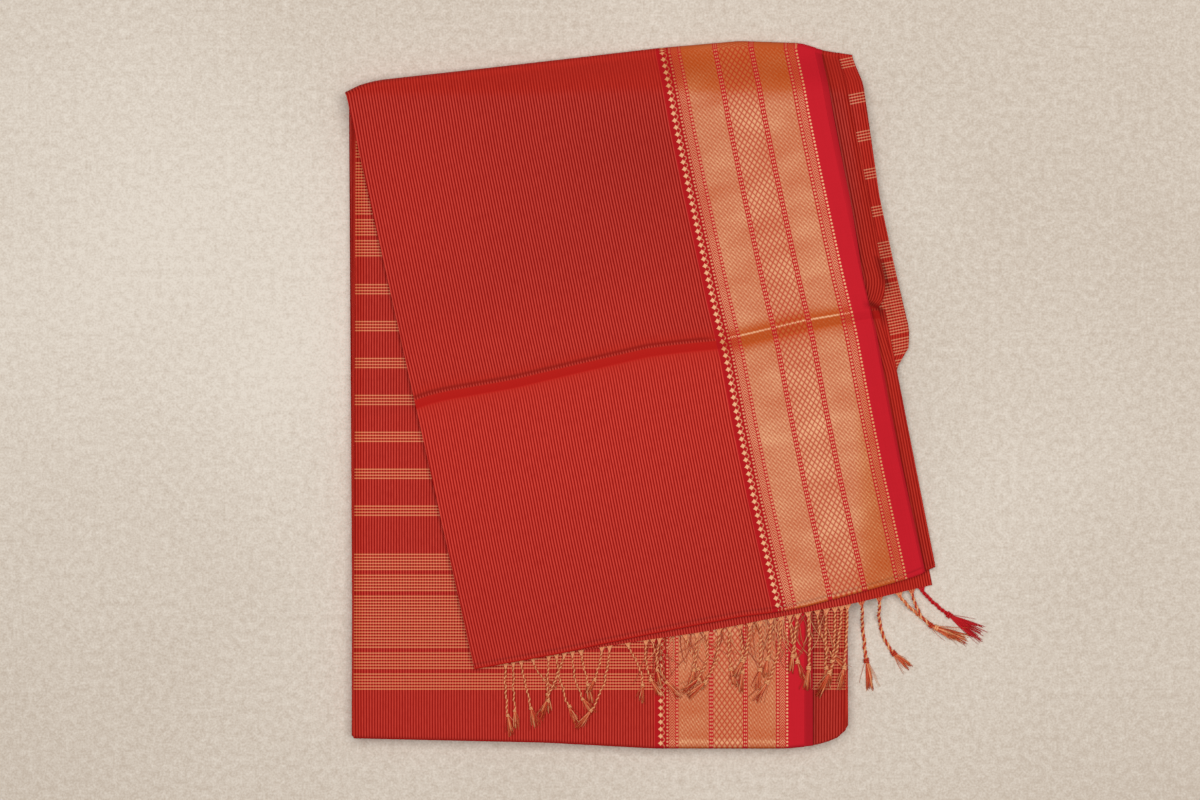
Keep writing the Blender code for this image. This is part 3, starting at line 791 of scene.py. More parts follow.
def grid_mesh(name, points, uv, thickness, bake, light_table):
    """Thin closed sheet on a grid of points, with its places on the open cloth in metres."""
    rows, columns = points.shape[:2]
    normal = np.cross(np.gradient(points, axis=1), np.gradient(points, axis=0))
    normal /= np.linalg.norm(normal, axis=2)[:, :, None] + 1e-9
    index = np.arange(rows * columns).reshape(rows, columns)
    quads = np.stack([index[:-1, :-1], index[:-1, 1:], index[1:, 1:], index[1:, :-1]],
                     axis=-1).reshape(-1, 4)
    ring = np.concatenate([index[0, :-1], index[:-1, -1], index[-1, :0:-1], index[:0:-1, 0]])
    after = np.roll(ring, -1)
    far_side = rows * columns
    rim = np.stack([ring, ring + far_side, after + far_side, after], axis=-1)
    faces = np.concatenate([quads, quads[:, ::-1] + far_side, rim])
    flat = points.reshape(-1, 3)
    shift = normal.reshape(-1, 3) * thickness / 2
    mesh = bpy.data.meshes.new(name)
    mesh.from_pydata((np.concatenate([flat - shift, flat + shift]) * MM).tolist(), [],
                     faces.tolist())
    corner = faces.reshape(-1) % far_side
    for label, places in (("Cloth", uv * MM), ("OFBake", bake)):
        layer = mesh.uv_layers.new(name=label)
        value = places.reshape(-1, 2)[corner]
        if label == "OFBake":
            value[(len(corner) - 4 * len(rim)):][
                (np.arange(4 * len(rim)) % 4 == 1) | (np.arange(4 * len(rim)) % 4 == 2)] += RIM_WIDTH
        layer.data.foreach_set("uv", value.astype(np.float32).reshape(-1))
    # Painted light: lean from the light, painted shade and painted sheen, stored for the silk
    # material to paint into its colour
    values = np.tile(light_values(points, normal, *light_table).reshape(-1, 3), (2, 1))
    light = mesh.attributes.new("Light", "FLOAT_VECTOR", "POINT")
    light.data.foreach_set("vector", values.astype(np.float32).reshape(-1))
    mesh.shade_smooth()
    mesh.set_sharp_from_angle(angle=math.radians(60.0))
    return mesh


def bake_places(uv, counts):
    """Map for baked textures that gives the face ply most of the room."""
    face = counts.face + counts.fine
    across = uv[0, :, 0]
    share = np.where(np.arange(len(across)) < face, FACE_ROOM * across / across[face - 1],
                     FACE_ROOM + (1.0 - FACE_ROOM) * (across - across[face - 1])
                     / (across[-1] - across[face - 1]))
    middle = uv[:, face // 2, 1]
    along = (middle - middle[0]) / (middle[-1] - middle[0])
    grid = np.stack(np.broadcast_arrays(share[None, :], along[:, None]), axis=-1)
    return 0.004 + grid * 0.99


def cloth_piece(name, stations, counts):
    """One length of the folded cloth, all four plies in one sheet."""
    sizes = bpy.context.scene.sari_sizes
    crease = sizes.crease_height / MM
    points = []
    places = []
    shades = []
    for station in stations:
        share = station.share if station.turn is None else 1.0
        selvedge, half_fold = span_widths(station.span, share)
        edges = face_edge(station.span, share, selvedge)
        width, offset, u, ply = ply_columns(counts, edges, half_fold, sizes.cloth_width / MM)
        if station.span == FLAP_SPAN:
            curl = EDGE_CURL * smooth((width - edges[0] + 5.0) / 5.0)
            offset = offset + curl * ((ply == 0) | (ply == 3))
        shades.append(ply_shade(station, width, ply, edges))
        points.append(station_points(station, width, offset, crease))
        v = station_v(station, width, crease)
        places.append(np.stack([u, v], axis=-1))
    uv = np.array(places)
    mesh = grid_mesh(name, np.array(points), uv, sizes.ply_thickness / MM,
                     bake_places(uv, counts),
                     (np.array(shades), [station_light(s) for s in stations]))
    mesh.materials.append(silk_material())
    piece = bpy.data.objects.new(name, mesh)
    bpy.context.scene.collection.objects.link(piece)
    length = float(np.mean(uv[-1, :, 1] - uv[0, :, 1])) * MM
    return piece, length


def span_stations(span, shares):
    """Stations along a span."""
    return [Station(span, float(share), None) for share in shares]


def loop_stations(span, count):
    """Stations round the fold after a span."""
    return [Station(span, 1.0, (i + 1) / (count + 1)) for i in range(count)]


def flap_shares():
    """Rows of the flap, close together at the far edge and at the crease."""
    far = np.linspace(0.0, 0.14, 18)
    upper = np.linspace(0.15, CREASE_AT - 0.05, 28)
    lower = np.append(np.linspace(CREASE_AT + 0.055, 0.985, 34),
                      1.0 - FLAP_END_ROWS / FLAP_LENGTH)
    return np.concatenate([far, upper, CREASE_AT + CREASE_ROWS / FLAP_LENGTH, lower])


# Materials


# The border, measured across from its selvedge, in millimetres
TWILL_PANELS = ((19.0, 35.85), (59.15, 77.3))
TWILL_WAVES = ((1.67, 3.01, 0.17), (-3.07, 3.07, 0.09), (3.58, 2.9, 0.09))
LATTICE_ZONE = (38.75, 56.4)
LATTICE_START = 38.7
LATTICE_WIDTH = 3.15
LATTICE_LENGTH = 4.25
CHEVRON_ZONES = ((13.3, 16.8), (79.2, 83.0))
CHEVRON_MIDDLES = (15.05, 81.1)
CHEVRON_PITCH = 1.62
CHEVRON_SLANT = 1.3
STAR_ZONE = (86.0, 90.0)
STAR_MIDDLE = 88.0
STAR_REPEAT = 4.13
STAR_SIZE = 1.5
HOOK_ZONE = (85.2, 87.0)
HOOK_MIDDLE = 87.0
HOOK_RING = (0.95, 1.5)
BORDER_WIDTH = 91.5
BORDER_GROUND = (16.9, 83.2)
STAR_GROUND = (83.2, 91.6)

# Rows of dots: middle, half width, half length and strength
DOT_ROWS = (
    (12.2, 0.64, 0.64, 1.0),
    (17.8, 0.7, 0.66, 0.85),
    (36.72, 0.36, 0.6, 0.9),
    (37.8, 0.36, 0.6, 0.9),
    (57.2, 0.36, 0.6, 0.9),
    (58.3, 0.36, 0.6, 0.9),
    (78.15, 0.68, 0.66, 0.82),
    (83.95, 0.66, 0.62, 0.82),
)

# Cross bands, measured along from the fringed end: blocks, then runs of small groups
BLOCK_STARTS = (126.0, 360.5, 614.0)
BLOCK_LINES = 46
BLOCK_GAPS = (6.0, 13.0, 32.0, 39.0)
GROUP_RUNS = ((221.0, 340.0, 22.5), (456.2, 594.0, 21.6))
GROUP_LINES = 3.6
LINE_SHARE = 0.38
PALE_LINES_END = 345.0

# Brightness across one fine stripe: place in the repeat and level
STRIPE_TONES = ((0.0, 0.30), (0.10, 0.0), (0.32, 0.0), (0.44, 0.45), (0.58, 0.60),
                (0.68, 1.0), (0.84, 1.0), (1.0, 0.30))


class Value:
    """Output of a node that can be used in sums and products."""

    def __init__(self, graph, socket):
        self.graph = graph
        self.socket = socket

    def __add__(self, other):
        return self.graph.math("ADD", self, other)

    def __sub__(self, other):
        return self.graph.math("SUBTRACT", self, other)

    def __rsub__(self, other):
        return self.graph.math("SUBTRACT", other, self)

    def __mul__(self, other):
        return self.graph.math("MULTIPLY", self, other)

    def __truediv__(self, other):
        return self.graph.math("DIVIDE", self, other)

    def __abs__(self):
        return self.graph.math("ABSOLUTE", self)

    def sine(self):
        return self.graph.math("SINE", self)

    def fraction(self):
        return self.graph.math("FRACT", self)

    def at_most(self, limit):
        return self.graph.math("MINIMUM", self, limit)

    def at_least(self, limit):
        return self.graph.math("MAXIMUM", self, limit)

    def below(self, limit):
        return self.graph.math("LESS_THAN", self, limit)

    def within(self, low, high):
        return self.graph.math("GREATER_THAN", self, low) * self.below(high)

    def part(self, pitch):
        """Place inside a repeat, from 0 to 1."""
        return (self / pitch).fraction()

    def off_whole(self):
        """Distance to the nearest whole number."""
        return abs((self + 0.5).fraction() - 0.5)

    def clamped(self):
        """Keep the last step of the sum between 0 and 1."""
        self.socket.node.use_clamp = True
        return self


def total(*values):
    """Sum of values, the first of which is the output of a node."""
    result = values[0]
    for value in values[1:]:
        result = result + value
    return result


def tinted(colour, factors):
    """Colour with each of its parts multiplied."""
    return tuple(part * factor for part, factor in zip(colour, factors))


class Graph:
    """Small helper that adds nodes to a node tree."""

    def __init__(self, tree):
        self.tree = tree

    def add(self, kind, **values):
        node = self.tree.nodes.new(kind)
        for key, value in values.items():
            setattr(node, key, value)
        return node

    def link(self, value, socket):
        if isinstance(value, Value):
            value = value.socket
        if hasattr(value, "is_output"):
            self.tree.links.new(value, socket)
        else:
            socket.default_value = value

    def math(self, operation, *values):
        node = self.add("ShaderNodeMath", operation=operation)
        for value, socket in zip(values, node.inputs):
            self.link(value, socket)
        return Value(self, node.outputs[0])

    def noise(self, place, scale, detail):
        """Noise at a place in three dimensions."""
        node = self.add("ShaderNodeTexNoise")
        node.inputs["Scale"].default_value = scale
        node.inputs["Detail"].default_value = detail
        self.link(place, node.inputs["Vector"])
        return Value(self, node.outputs["Fac"])

    def cloth_noise(self, across, along, detail=2.0):
        """Noise on the flat cloth, with its own stretch both ways."""
        node = self.add("ShaderNodeCombineXYZ")
        self.link(across, node.inputs[0])
        self.link(along, node.inputs[1])
        return self.noise(node.outputs[0], 1.0, detail)

    def mix(self, factor, first, second):
        node = self.add("ShaderNodeMix", data_type="RGBA")
        self.link(factor, node.inputs["Factor"])
        colour_inputs = [s for s in node.inputs if s.type == "RGBA"]
        for colour, socket in zip((first, second), colour_inputs):
            self.link(colour if isinstance(colour, Value) else (*colour, 1.0), socket)
        return Value(self, [s for s in node.outputs if s.type == "RGBA"][0])

    def scale(self, colour, factor):
        node = self.add("ShaderNodeVectorMath", operation="SCALE")
        self.link(colour, node.inputs[0])
        self.link(factor, node.inputs["Scale"])
        return Value(self, node.outputs[0])

    def split(self, vector):
        """The three parts of a vector."""
        node = self.add("ShaderNodeSeparateXYZ")
        self.link(vector, node.inputs[0])
        return [Value(self, socket) for socket in node.outputs]

    def places(self, uv_map):
        """Places across and along the open cloth or thread, in millimetres."""
        across, along = self.split(self.add("ShaderNodeUVMap", uv_map=uv_map).outputs[0])[:2]
        return across / MM, along / MM

    def group(self, tree, **values):
        """Outputs of a shared shader group, by name."""
        node = self.add("ShaderNodeGroup", node_tree=tree)
        for key, value in values.items():
            self.link(value, node.inputs[key.replace("_", " ")])
        return {socket.name: Value(self, socket) for socket in node.outputs}

    def relief(self, shader, height, strength, distance):
        """Fine bumps on a shader."""
        node = self.add("ShaderNodeBump")
        node.inputs["Strength"].default_value = strength
        node.inputs["Distance"].default_value = distance
        self.link(height, node.inputs["Height"])
        self.link(node.outputs[0], shader.inputs["Normal"])


def new_group(name, inputs, outputs):
    """Empty shader group, its graph, its inputs by name and its output sockets."""
    tree = bpy.data.node_groups.new(name, "ShaderNodeTree")
    for label, default in inputs:
        socket = tree.interface.new_socket(label, in_out="INPUT", socket_type="NodeSocketFloat")
        socket.default_value = default
    for label in outputs:
        tree.interface.new_socket(label, in_out="OUTPUT", socket_type="NodeSocketFloat")
    graph = Graph(tree)
    source = graph.add("NodeGroupInput").outputs
    values = {label: Value(graph, source[label]) for label, default in inputs}
    return tree, graph, values, graph.add("NodeGroupOutput").inputs


def new_material(name):
    """Fresh material, its graph and its shader."""
    material = bpy.data.materials.new(name)
    material.use_nodes = True
    graph = Graph(material.node_tree)
    shader = next(n for n in graph.tree.nodes if n.type == "BSDF_PRINCIPLED")
    return material, graph, shader


def dot_row_group():
    """Row of small woven dots along the border."""
    found = bpy.data.node_groups.get("Dot row")
    if found:
        return found
    tree, g, source, result = new_group(
        "Dot row",
        [("Across", 0.0), ("Along", 0.0), ("Middle", 0.0), ("Pitch", 2.12),
         ("Half width", 0.6), ("Half length", 0.72)],
        ["Mask"])
    x = (source["Across"] - source["Middle"]) / source["Half width"]
    y = (source["Along"].part(source["Pitch"]) - 0.5) * source["Pitch"] / source["Half length"]
    g.link((x * x + y * y).below(1.0), result["Mask"])
    return tree


def border_group():
    """Woven border: two twill panels beside a lattice, with dots, chevrons and a star row."""
    found = bpy.data.node_groups.get("Border weave")
    if found:
        return found
    tree, g, source, result = new_group(
        "Border weave", [("Across", 0.0), ("Along", 0.0)], ["Gold", "Level", "Spark", "Border"])
    a, v = source["Across"], source["Along"]

    panels = total(*[a.within(*zone) for zone in TWILL_PANELS])
    waves = [((a / across + v / along) * math.tau).sine() * depth
             for across, along, depth in TWILL_WAVES]
    fleck = g.cloth_noise(a * 1.3, v * 1.3, 1.0)
    twill = total(*waves, (fleck - 0.5) * 0.6, 0.5)

    p = (a - LATTICE_START) / LATTICE_WIDTH
    q = v / LATTICE_LENGTH
    off_line = (p + q).off_whole().at_most((p - q).off_whole())
    lattice = a.within(*LATTICE_ZONE) * ((off_line - 0.03) * 30.0).clamped()
    heart = ((off_line - 0.06) * 3.0).clamped() * 0.44 + 0.40

    chevrons = total(*[a.within(*zone) for zone in CHEVRON_ZONES])
    near, far = [abs(a - middle) for middle in CHEVRON_MIDDLES]
    chevron = ((v - near.at_most(far) * CHEVRON_SLANT) * (math.tau / CHEVRON_PITCH)).sine()
    chevron_gold = chevrons * (chevron * 0.42 + 0.54)

    dots = total(*[
        g.group(dot_row_group(), Across=a, Along=v, Middle=middle, Half_width=half_width,
                Half_length=half_length)["Mask"] * strength
        for middle, half_width, half_length, strength in DOT_ROWS]).at_most(1.0)

    x = a - STAR_MIDDLE
    y = (v.part(STAR_REPEAT) - 0.5) * STAR_REPEAT
    star_reach = g.math("POWER", abs(x), 0.8) + g.math("POWER", abs(y), 0.8)
    star = star_reach.below(STAR_SIZE) * a.within(*STAR_ZONE)
    ring_x = a - HOOK_MIDDLE
    ring_y = ((v + STAR_REPEAT / 2).part(STAR_REPEAT) - 0.5) * STAR_REPEAT
    ring = g.math("SQRT", ring_x * ring_x + ring_y * ring_y)
    hook = ring.within(*HOOK_RING) * a.within(*HOOK_ZONE) * 0.75
    spark = (star + hook).at_most(1.0)

    gold = total(panels, lattice, chevron_gold, dots, spark)
    level = total(panels * twill, lattice * heart, dots * 0.95, star * 0.98, hook * 0.95,
                  chevron_gold * 0.85)
    g.link(gold.at_most(1.0), result["Gold"])
    g.link(level.at_most(1.0), result["Level"])
    g.link((dots + spark).at_most(1.0), result["Spark"])
    g.link(a.below(BORDER_WIDTH), result["Border"])
    return tree


def cross_band_group():
    """Gold lines across the end of the cloth: three banded blocks and the groups between."""
    found = bpy.data.node_groups.get("Cross bands")
    if found:
        return found
    tree, g, source, result = new_group(
        "Cross bands", [("Along", 0.0), ("Line pitch", 1.75)], ["Line"])
    v, pitch = source["Along"], source["Line pitch"]
    lines = []
    for start in BLOCK_STARTS:
        place = (v - start) / pitch
        number = g.math("FLOOR", place)
        gaps = total(*[g.math("COMPARE", number, gap, 0.1) for gap in BLOCK_GAPS])
        inside = number.within(-0.5, BLOCK_LINES - 0.5)
        lines.append(place.fraction().below(LINE_SHARE) * inside * (1.0 - gaps))
    for first, last, repeat in GROUP_RUNS:
        number = (v - first).part(repeat) * repeat / pitch
        line = number.fraction().below(LINE_SHARE)
        lines.append(line * number.below(GROUP_LINES) * v.within(first, last))
    g.link(total(*lines).at_most(1.0), result["Line"])
    return tree


def thread_group():
    """Fine relief and tone of woven threads."""
    found = bpy.data.node_groups.get("Woven threads")
    if found:
        return found
    tree, g, source, result = new_group(
        "Woven threads", [("Across", 0.0), ("Along", 0.0), ("Thread", 0.28)],
        ["Height", "Tone"])
    across, along = source["Across"], source["Along"]
    warp = (across / source["Thread"] * math.tau).sine()
    weft = (along / source["Thread"] * math.tau).sine()
    slub = g.cloth_noise(across * 0.9, along * 0.05, 3.0)
    cross = g.cloth_noise(across * 0.04, along * 0.8, 3.0)
    g.link(total(warp * 0.35, weft * 0.35, slub * 0.8), result["Height"])
    g.link(slub * 0.6 + cross * 0.4, result["Tone"])
    return tree


def stripe_level(g, u, v, tone):
    """Brightness of the fine stripes along the cloth, broken into dashes by the slub."""
    wander = g.cloth_noise(u * 0.02, v * 0.012)
    ramp = g.add("ShaderNodeValToRGB")
    stops = ramp.color_ramp.elements
    stops[0].position, stops[1].position = 0.0, 1.0
    for position, level in STRIPE_TONES:
        stop = stops[0] if position == 0.0 else (
            stops[-1] if position == 1.0 else stops.new(position))
        stop.color = (level, level, level, 1.0)
    pitch = bpy.context.scene.sari_sizes.stripe_pitch / MM
    g.link((u + wander * 1.2).part(pitch), ramp.inputs[0])
    dash = g.cloth_noise(u * 1.6, v * 0.22)
    return (Value(g, ramp.outputs[0]) * total(dash * 1.1, tone * 0.5, 0.2)).clamped()


def silk_material():
    """Red silk with fine stripes, a metal-thread border and gold cross bands."""
    found = bpy.data.materials.get("Sari silk")
    if found:
        return found
    sizes = bpy.context.scene.sari_sizes
    colours = bpy.context.scene.sari_colours
    material, g, shader = new_material("Sari silk")
    u, v = g.places("Cloth")
    from_edge = u.at_most(sizes.cloth_width / MM - u) + SELVEDGE_START
    # Painted light: lean from the light, painted shade and painted sheen from the Light attribute
    light = g.add("ShaderNodeAttribute", attribute_name="Light")
    tilt, shade, sheen = g.split(light.outputs["Vector"])
    facing = 1.0 - tilt

    border = g.group(border_group(), Across=from_edge, Along=v)
    lines = g.group(cross_band_group(), Along=v, Line_pitch=sizes.band_pitch / MM)
    threads = g.group(thread_group(), Across=u, Along=v)
    in_border = border["Border"]
    in_body = 1.0 - in_border

    stripe = stripe_level(g, u, v, threads["Tone"])
    body = g.mix(stripe, colours.ground, colours.stripe)
    # Painted shade: the red turns to the even red of silk that leans from the light, deeper at the
    # crease
    body = g.mix(tilt * 0.75, body, colours.slope)
    steep = ((tilt - SLOPE_PAINTED_SHADE) * 2.4).clamped()
    body = g.mix(steep, body, tinted(colours.slope, (0.93, 0.5, 0.6)))
    line_mask = lines["Line"] * in_body * (stripe * 0.34 + 0.58).clamped()
    line_colour = g.mix(v.below(PALE_LINES_END), colours.band, colours.pale_band)
    body = g.mix(line_mask, body, line_colour)

    red = colours.selvedge
    tone = (threads["Tone"] - 0.5) * 0.8
    plain = g.mix((tone + 0.85).clamped(), tinted(red, (0.8, 0.8, 0.8)), red)
    plain = g.mix(from_edge.within(*BORDER_GROUND), plain, tinted(red, (0.9, 1.25, 0.8)))
    plain = g.mix(from_edge.within(*STAR_GROUND), plain, tinted(red, (0.76, 0.7, 0.5)))
    # Painted light on the gold: random patches of painted sheen, painted shade where it leans from
    # the light, painted sheen and the painted glint; dots and stars keep most of their own level
    patch = g.cloth_noise(u * 0.03, v * 0.055)
    turn = total((patch - 0.5) * 0.7, tilt * -0.62, sheen * 0.05,
                 (sheen * -1.0).at_least(0.0) * 0.35)
    turn = turn * (1.0 - border["Spark"] * 0.7)
    level = border["Level"] * 0.96 + turn.at_least(-0.46)
    dull = g.mix((level * 2.0).clamped(), colours.deep_gold, colours.gold)
    gold = g.mix((level * 2.0 - 1.0).clamped(), dull, colours.bright_gold)
    woven = g.mix(border["Gold"], plain, gold)
    # Painted sheen brightens the body and painted shade darkens every colour
    painted_light = total(sheen.at_least(0.0) * 0.14 * facing * in_body, shade * -0.62, 1.0)
    g.link(g.scale(g.mix(in_border, body, woven), painted_light), shader.inputs["Base Color"])

    zari = border["Gold"] * in_border
    glow = (level * 0.62 + 0.08).clamped()
    coat = total(zari * glow * facing, line_mask * 0.25 * facing, stripe * in_body * 0.11 * facing)
    g.link(coat, shader.inputs["Coat Weight"])
    shader.inputs["Coat Roughness"].default_value = 0.36
    shader.inputs["Coat Tint"].default_value = (1.0, 0.9, 0.8, 1.0)
    shader.inputs["Roughness"].default_value = 0.65
    shader.inputs["Specular IOR Level"].default_value = 0.03
    height = total(threads["Height"] * 0.4, zari * 0.8, line_mask * 0.5, stripe * 0.35)
    g.relief(shader, height, 0.3, 0.0002)
    return material


def thread_material(name, colour):
    """Twisted thread of the fringe."""
    found = bpy.data.materials.get(name)
    if found:
        return found
    material, g, shader = new_material(name)
    across, along = g.places("Thread")
    threads = g.group(thread_group(), Across=across, Along=along, Thread=0.35)
    fade = ((threads["Tone"] - 0.3) * 2.2).clamped()
    dark = tinted(colour, (0.85, 0.64, 0.56))
    g.link(g.mix(fade, dark, colour), shader.inputs["Base Color"])
    g.relief(shader, threads["Height"], 0.4, 0.00015)
    shader.inputs["Roughness"].default_value = 0.5
    shader.inputs["Specular IOR Level"].default_value = 0.1
    shader.inputs["Coat Weight"].default_value = 0.5 if colour[1] > 0.1 else 0.1
    shader.inputs["Coat Roughness"].default_value = 0.35
    return material


def floor_material():
    """Warm cream plaster floor, softly mottled, and darker away from a point beside the cloth as a
    painted pool of light.
    """
    material, g, shader = new_material("Floor plaster")
    place = g.add("ShaderNodeTexCoord").outputs["Object"]
    broad, fine, grain = [g.noise(place, scale, 3.0) for scale in (3.0, 240.0, 800.0)]
    # Painted pool of light: the floor darkens with distance from a point beside the cloth
    x, y = g.split(place)[:2]
    x = x + 0.14
    y = (y - 0.04) * 2.0
    away = g.math("SQRT", x * x + y * y)
    tone = total(broad * 0.4, fine * 0.4, grain * 0.55)
    tone = ((tone - 0.675) * 3.0 + 0.80 - away * 0.88).clamped()
    base = bpy.context.scene.sari_stage.floor
    low = tinted(base, (0.84, 0.81, 0.78))
    high = tinted(base, (1.16, 1.20, 1.23))
    g.link(g.mix(tone, low, high), shader.inputs["Base Color"])
    shader.inputs["Roughness"].default_value = 0.85
    shader.inputs["Specular IOR Level"].default_value = 0.2
    g.relief(shader, fine + grain, 0.15, 0.0005)
    return material


# Fringe


def strand_path(strand):
    """Plan path of a strand from its root, one point each PATH_STEP."""
    x, y = across_edge(HEM_EDGE, strand.root)
    points = [np.array([float(x), float(y) - STRIP_GAP - STRIP_WIDTH])]
    count = int(strand.length / PATH_STEP)
    for index in range(count):
        share = (index + 0.5) / count
        heading = math.radians(strand.lean + strand.bend * share ** 1.3)
        step = np.array([math.sin(heading), -math.cos(heading)]) * PATH_STEP
        points.append(points[-1] + step)
    return np.array(points)


def resting_height(strand, path):
    """Height under a strand along its path: on the stack, or falling to the floor beside it."""
    if path[0][0] < STACK_RIGHT:
        return stack_centre(STACK_LEVELS - 1, path[:, 0], path[:, 1]) + PACKET / 2
    root = float(hem_centre(path[0][0], path[0][1] + STRIP_WIDTH)) - strand.half
    distance = np.arange(len(path)) * PATH_STEP
    return max(root, 0.0) * (1.0 - smooth(distance / FALL_LENGTH))


def lay_over(strand, path, under, laid):
    """Raise a strand where it crosses the strands laid before it."""
    need = under.copy()
    for other, other_path, other_under in laid:
        away = np.linalg.norm(path[:, None, :] - other_path[None, :, :], axis=2)
        touch = strand.half + other.half + PIECE_GAP * 2.0
        top = other_under + 2.4 * other.half
        lift = np.where(away < touch, top[None, :], -1.0).max(axis=1)
        need = np.maximum(need, lift)
    reach = int(LAY_REACH / PATH_STEP)
    eased = need.copy()
    for index in range(len(need)):
        for offset in range(-reach, reach + 1):
            other = index + offset
            if 0 <= other < len(need):
                fade = 1.0 - float(smooth((abs(offset) - 2.0) / (reach - 2.0)))
                rise = (need[other] - under[other]) * fade + under[index]
                eased[index] = max(eased[index], rise)
    hold = smooth(np.arange(len(need)) * PATH_STEP / LAY_REACH)
    return under + (eased - under) * hold


def line_frame(line):
    """Directions beside and above a line of points, square to it."""
    tangent = np.gradient(line, axis=0)
    tangent /= np.linalg.norm(tangent, axis=1)[:, None] + 1e-9
    beside = np.stack([-tangent[:, 1], tangent[:, 0], np.zeros(len(tangent))], axis=1)
    beside /= np.linalg.norm(beside, axis=1)[:, None] + 1e-9
    return beside, np.cross(tangent, beside)


def walked(line):
    """Distance along a line at each of its points."""
    return np.concatenate([[0.0], np.cumsum(np.linalg.norm(np.diff(line, axis=0), axis=1))])


class ThreadMesh:
    """Collects thin tubes into one mesh with their places along the thread."""

    def __init__(self):
        self.points = []
        self.faces = []
        self.places = []
        self.slots = []

    def tube(self, centres, radii, slot, sides=5):
        """Tube along a line of points, in millimetres."""
        centres = np.asarray(centres, dtype=float)
        radii = np.broadcast_to(np.asarray(radii, dtype=float), (len(centres),)).copy()
        beside, above = line_frame(centres)
        along = walked(centres)
        first = len(self.points)
        for ring in range(len(centres)):
            for side in range(sides):
                angle = math.tau * side / sides
                offset = beside[ring] * math.cos(angle) + above[ring] * math.sin(angle)
                self.points.append(centres[ring] + offset * radii[ring])
        for ring in range(len(centres) - 1):
            for side in range(sides):
                nxt = (side + 1) % sides
                a = first + ring * sides + side
                b = first + ring * sides + nxt
                self.faces.append((a, b, b + sides, a + sides))
                around = [side, side + 1, side + 1, side]
                rings = [ring, ring, ring + 1, ring + 1]
                self.places.append([(s / sides * radii[r] * 6.0, along[r])
                                    for s, r in zip(around, rings)])
                self.slots.append(slot)
        for start in (first, first + (len(centres) - 1) * sides):
            cap = [start + s for s in range(sides)]
            self.faces.append(tuple(cap if start != first else cap[::-1]))
            self.places.append([(0.0, 0.0)] * sides)
            self.slots.append(slot)

    def make(self, name, materials):
        """Mesh object of everything collected."""
        mesh = bpy.data.meshes.new(name)
        mesh.from_pydata([tuple(np.asarray(p) * MM) for p in self.points], [], self.faces)
        layer = mesh.uv_layers.new(name="Thread")
        flat = np.array([uv for place in self.places for uv in place]) * MM
        layer.data.foreach_set("uv", flat.astype(np.float32).reshape(-1))
        for material in materials:
            mesh.materials.append(material)
        mesh.polygons.foreach_set("material_index", np.array(self.slots, dtype=np.int32))
        mesh.shade_smooth()
        mesh.update()
        piece = bpy.data.objects.new(name, mesh)
        bpy.context.scene.collection.objects.link(piece)
        return piece


def cord_line(path, under, half, length):
    """Centre line of a cord up to a length, in three dimensions."""
    count = max(4, int(length / PATH_STEP)) + 1
    line = np.empty((count, 3))
    line[:, :2] = path[:count]
    line[:, 2] = under[:count] + half
    return line


def twist_plies(line, half, twist, phase):
    """Two plies wound round a centre line."""
    fine = np.linspace(0, len(line) - 1, (len(line) - 1) * 2 + 1)
    centre = np.stack([np.interp(fine, np.arange(len(line)), line[:, k]) for k in range(3)], axis=1)
    beside, above = line_frame(centre)
    angle = walked(centre) / twist * math.tau + phase
    swing = (beside * np.cos(angle)[:, None] + above * np.sin(angle)[:, None]) * half * 0.5
    return centre + swing, centre - swing


def knot_line(centre, heading, half):
    """Loop of thread wound round a cord at its knot."""
    turns = np.linspace(0.0, 2.0 * math.tau, 19)
    side = np.array([-heading[1], heading[0], 0.0])
    ahead = np.array([heading[0], heading[1], 0.0])
    line = []
    for turn in turns:
        line.append(centre + side * math.cos(turn) * half * 1.05
                    + np.array([0.0, 0.0, 1.0]) * math.sin(turn) * half * 0.9
                    + ahead * (turn / math.tau - 1.0) * half * 0.95)
    return line


def build_fringe():
    """Twisted cords with their gathered roots, knots and frayed ends."""
    sizes = bpy.context.scene.sari_sizes
    colours = bpy.context.scene.sari_colours
    materials = [
        thread_material("Fringe red thread", tuple(colours.fringe_red)),
        thread_material("Fringe gold thread", tuple(colours.fringe_gold)),
        thread_material("Fringe crimson thread", tuple(colours.fringe_crimson)),
        thread_material("Fringe orange thread", tuple(colours.fringe_orange)),
        thread_material("Fringe amber thread", tuple(colours.fringe_amber)),
        thread_material("Fringe dark thread and painted shade", tuple(colours.fringe_shade))]
    chance = np.random.default_rng(7)
    threads = ThreadMesh()
    laid = []
    for number, strand in enumerate(STRANDS):
        path = strand_path(strand)
        under = lay_over(strand, path, resting_height(strand, path), laid)
        laid.append((strand, path, under))
        half = strand.half * CORD_SWELL
        slots = (GOLD, AMBER) if strand.gold >= 0 else (CRIMSON, CRIMSON)
        if strand.root > STACK_SIDE_ROOT:
            slots = {1: (GOLD, ORANGE), 0: (RED, GOLD), -1: (CRIMSON, CRIMSON)}[strand.gold]
            half *= SIDE_CORD_SWELL
        knot_at = strand.length - strand.tuft - half * 2.0
        line = crook(cord_line(path, under, half, knot_at), half, chance)
        twist = sizes.cord_twist / MM * (1.0 if strand.root > STACK_SIDE_ROOT else THIN_CORD_TWIST)
        first, second = twist_plies(line, half, twist, number * CORD_PHASE)
        thick = half * (0.34 + 0.16 * smooth(np.arange(len(first)) / 8.0))
        threads.tube(first, thick, slots[0])
        threads.tube(second, thick, slots[1])
        add_root(threads, strand, line, chance, slots)
        heading = path[len(line) - 1] - path[len(line) - 2]
        heading = heading / np.linalg.norm(heading)
        top = line[-1] + np.array([0.0, 0.0, half * 0.5])
        threads.tube(knot_line(top, heading, half * 1.1), half * 0.5, slots[0], 5)
        add_tuft(threads, strand, path, under, len(line) - 1, chance, slots, sizes.tuft_threads)
    add_loose_threads(threads, chance)
    return threads.make("fringe_cords", materials)


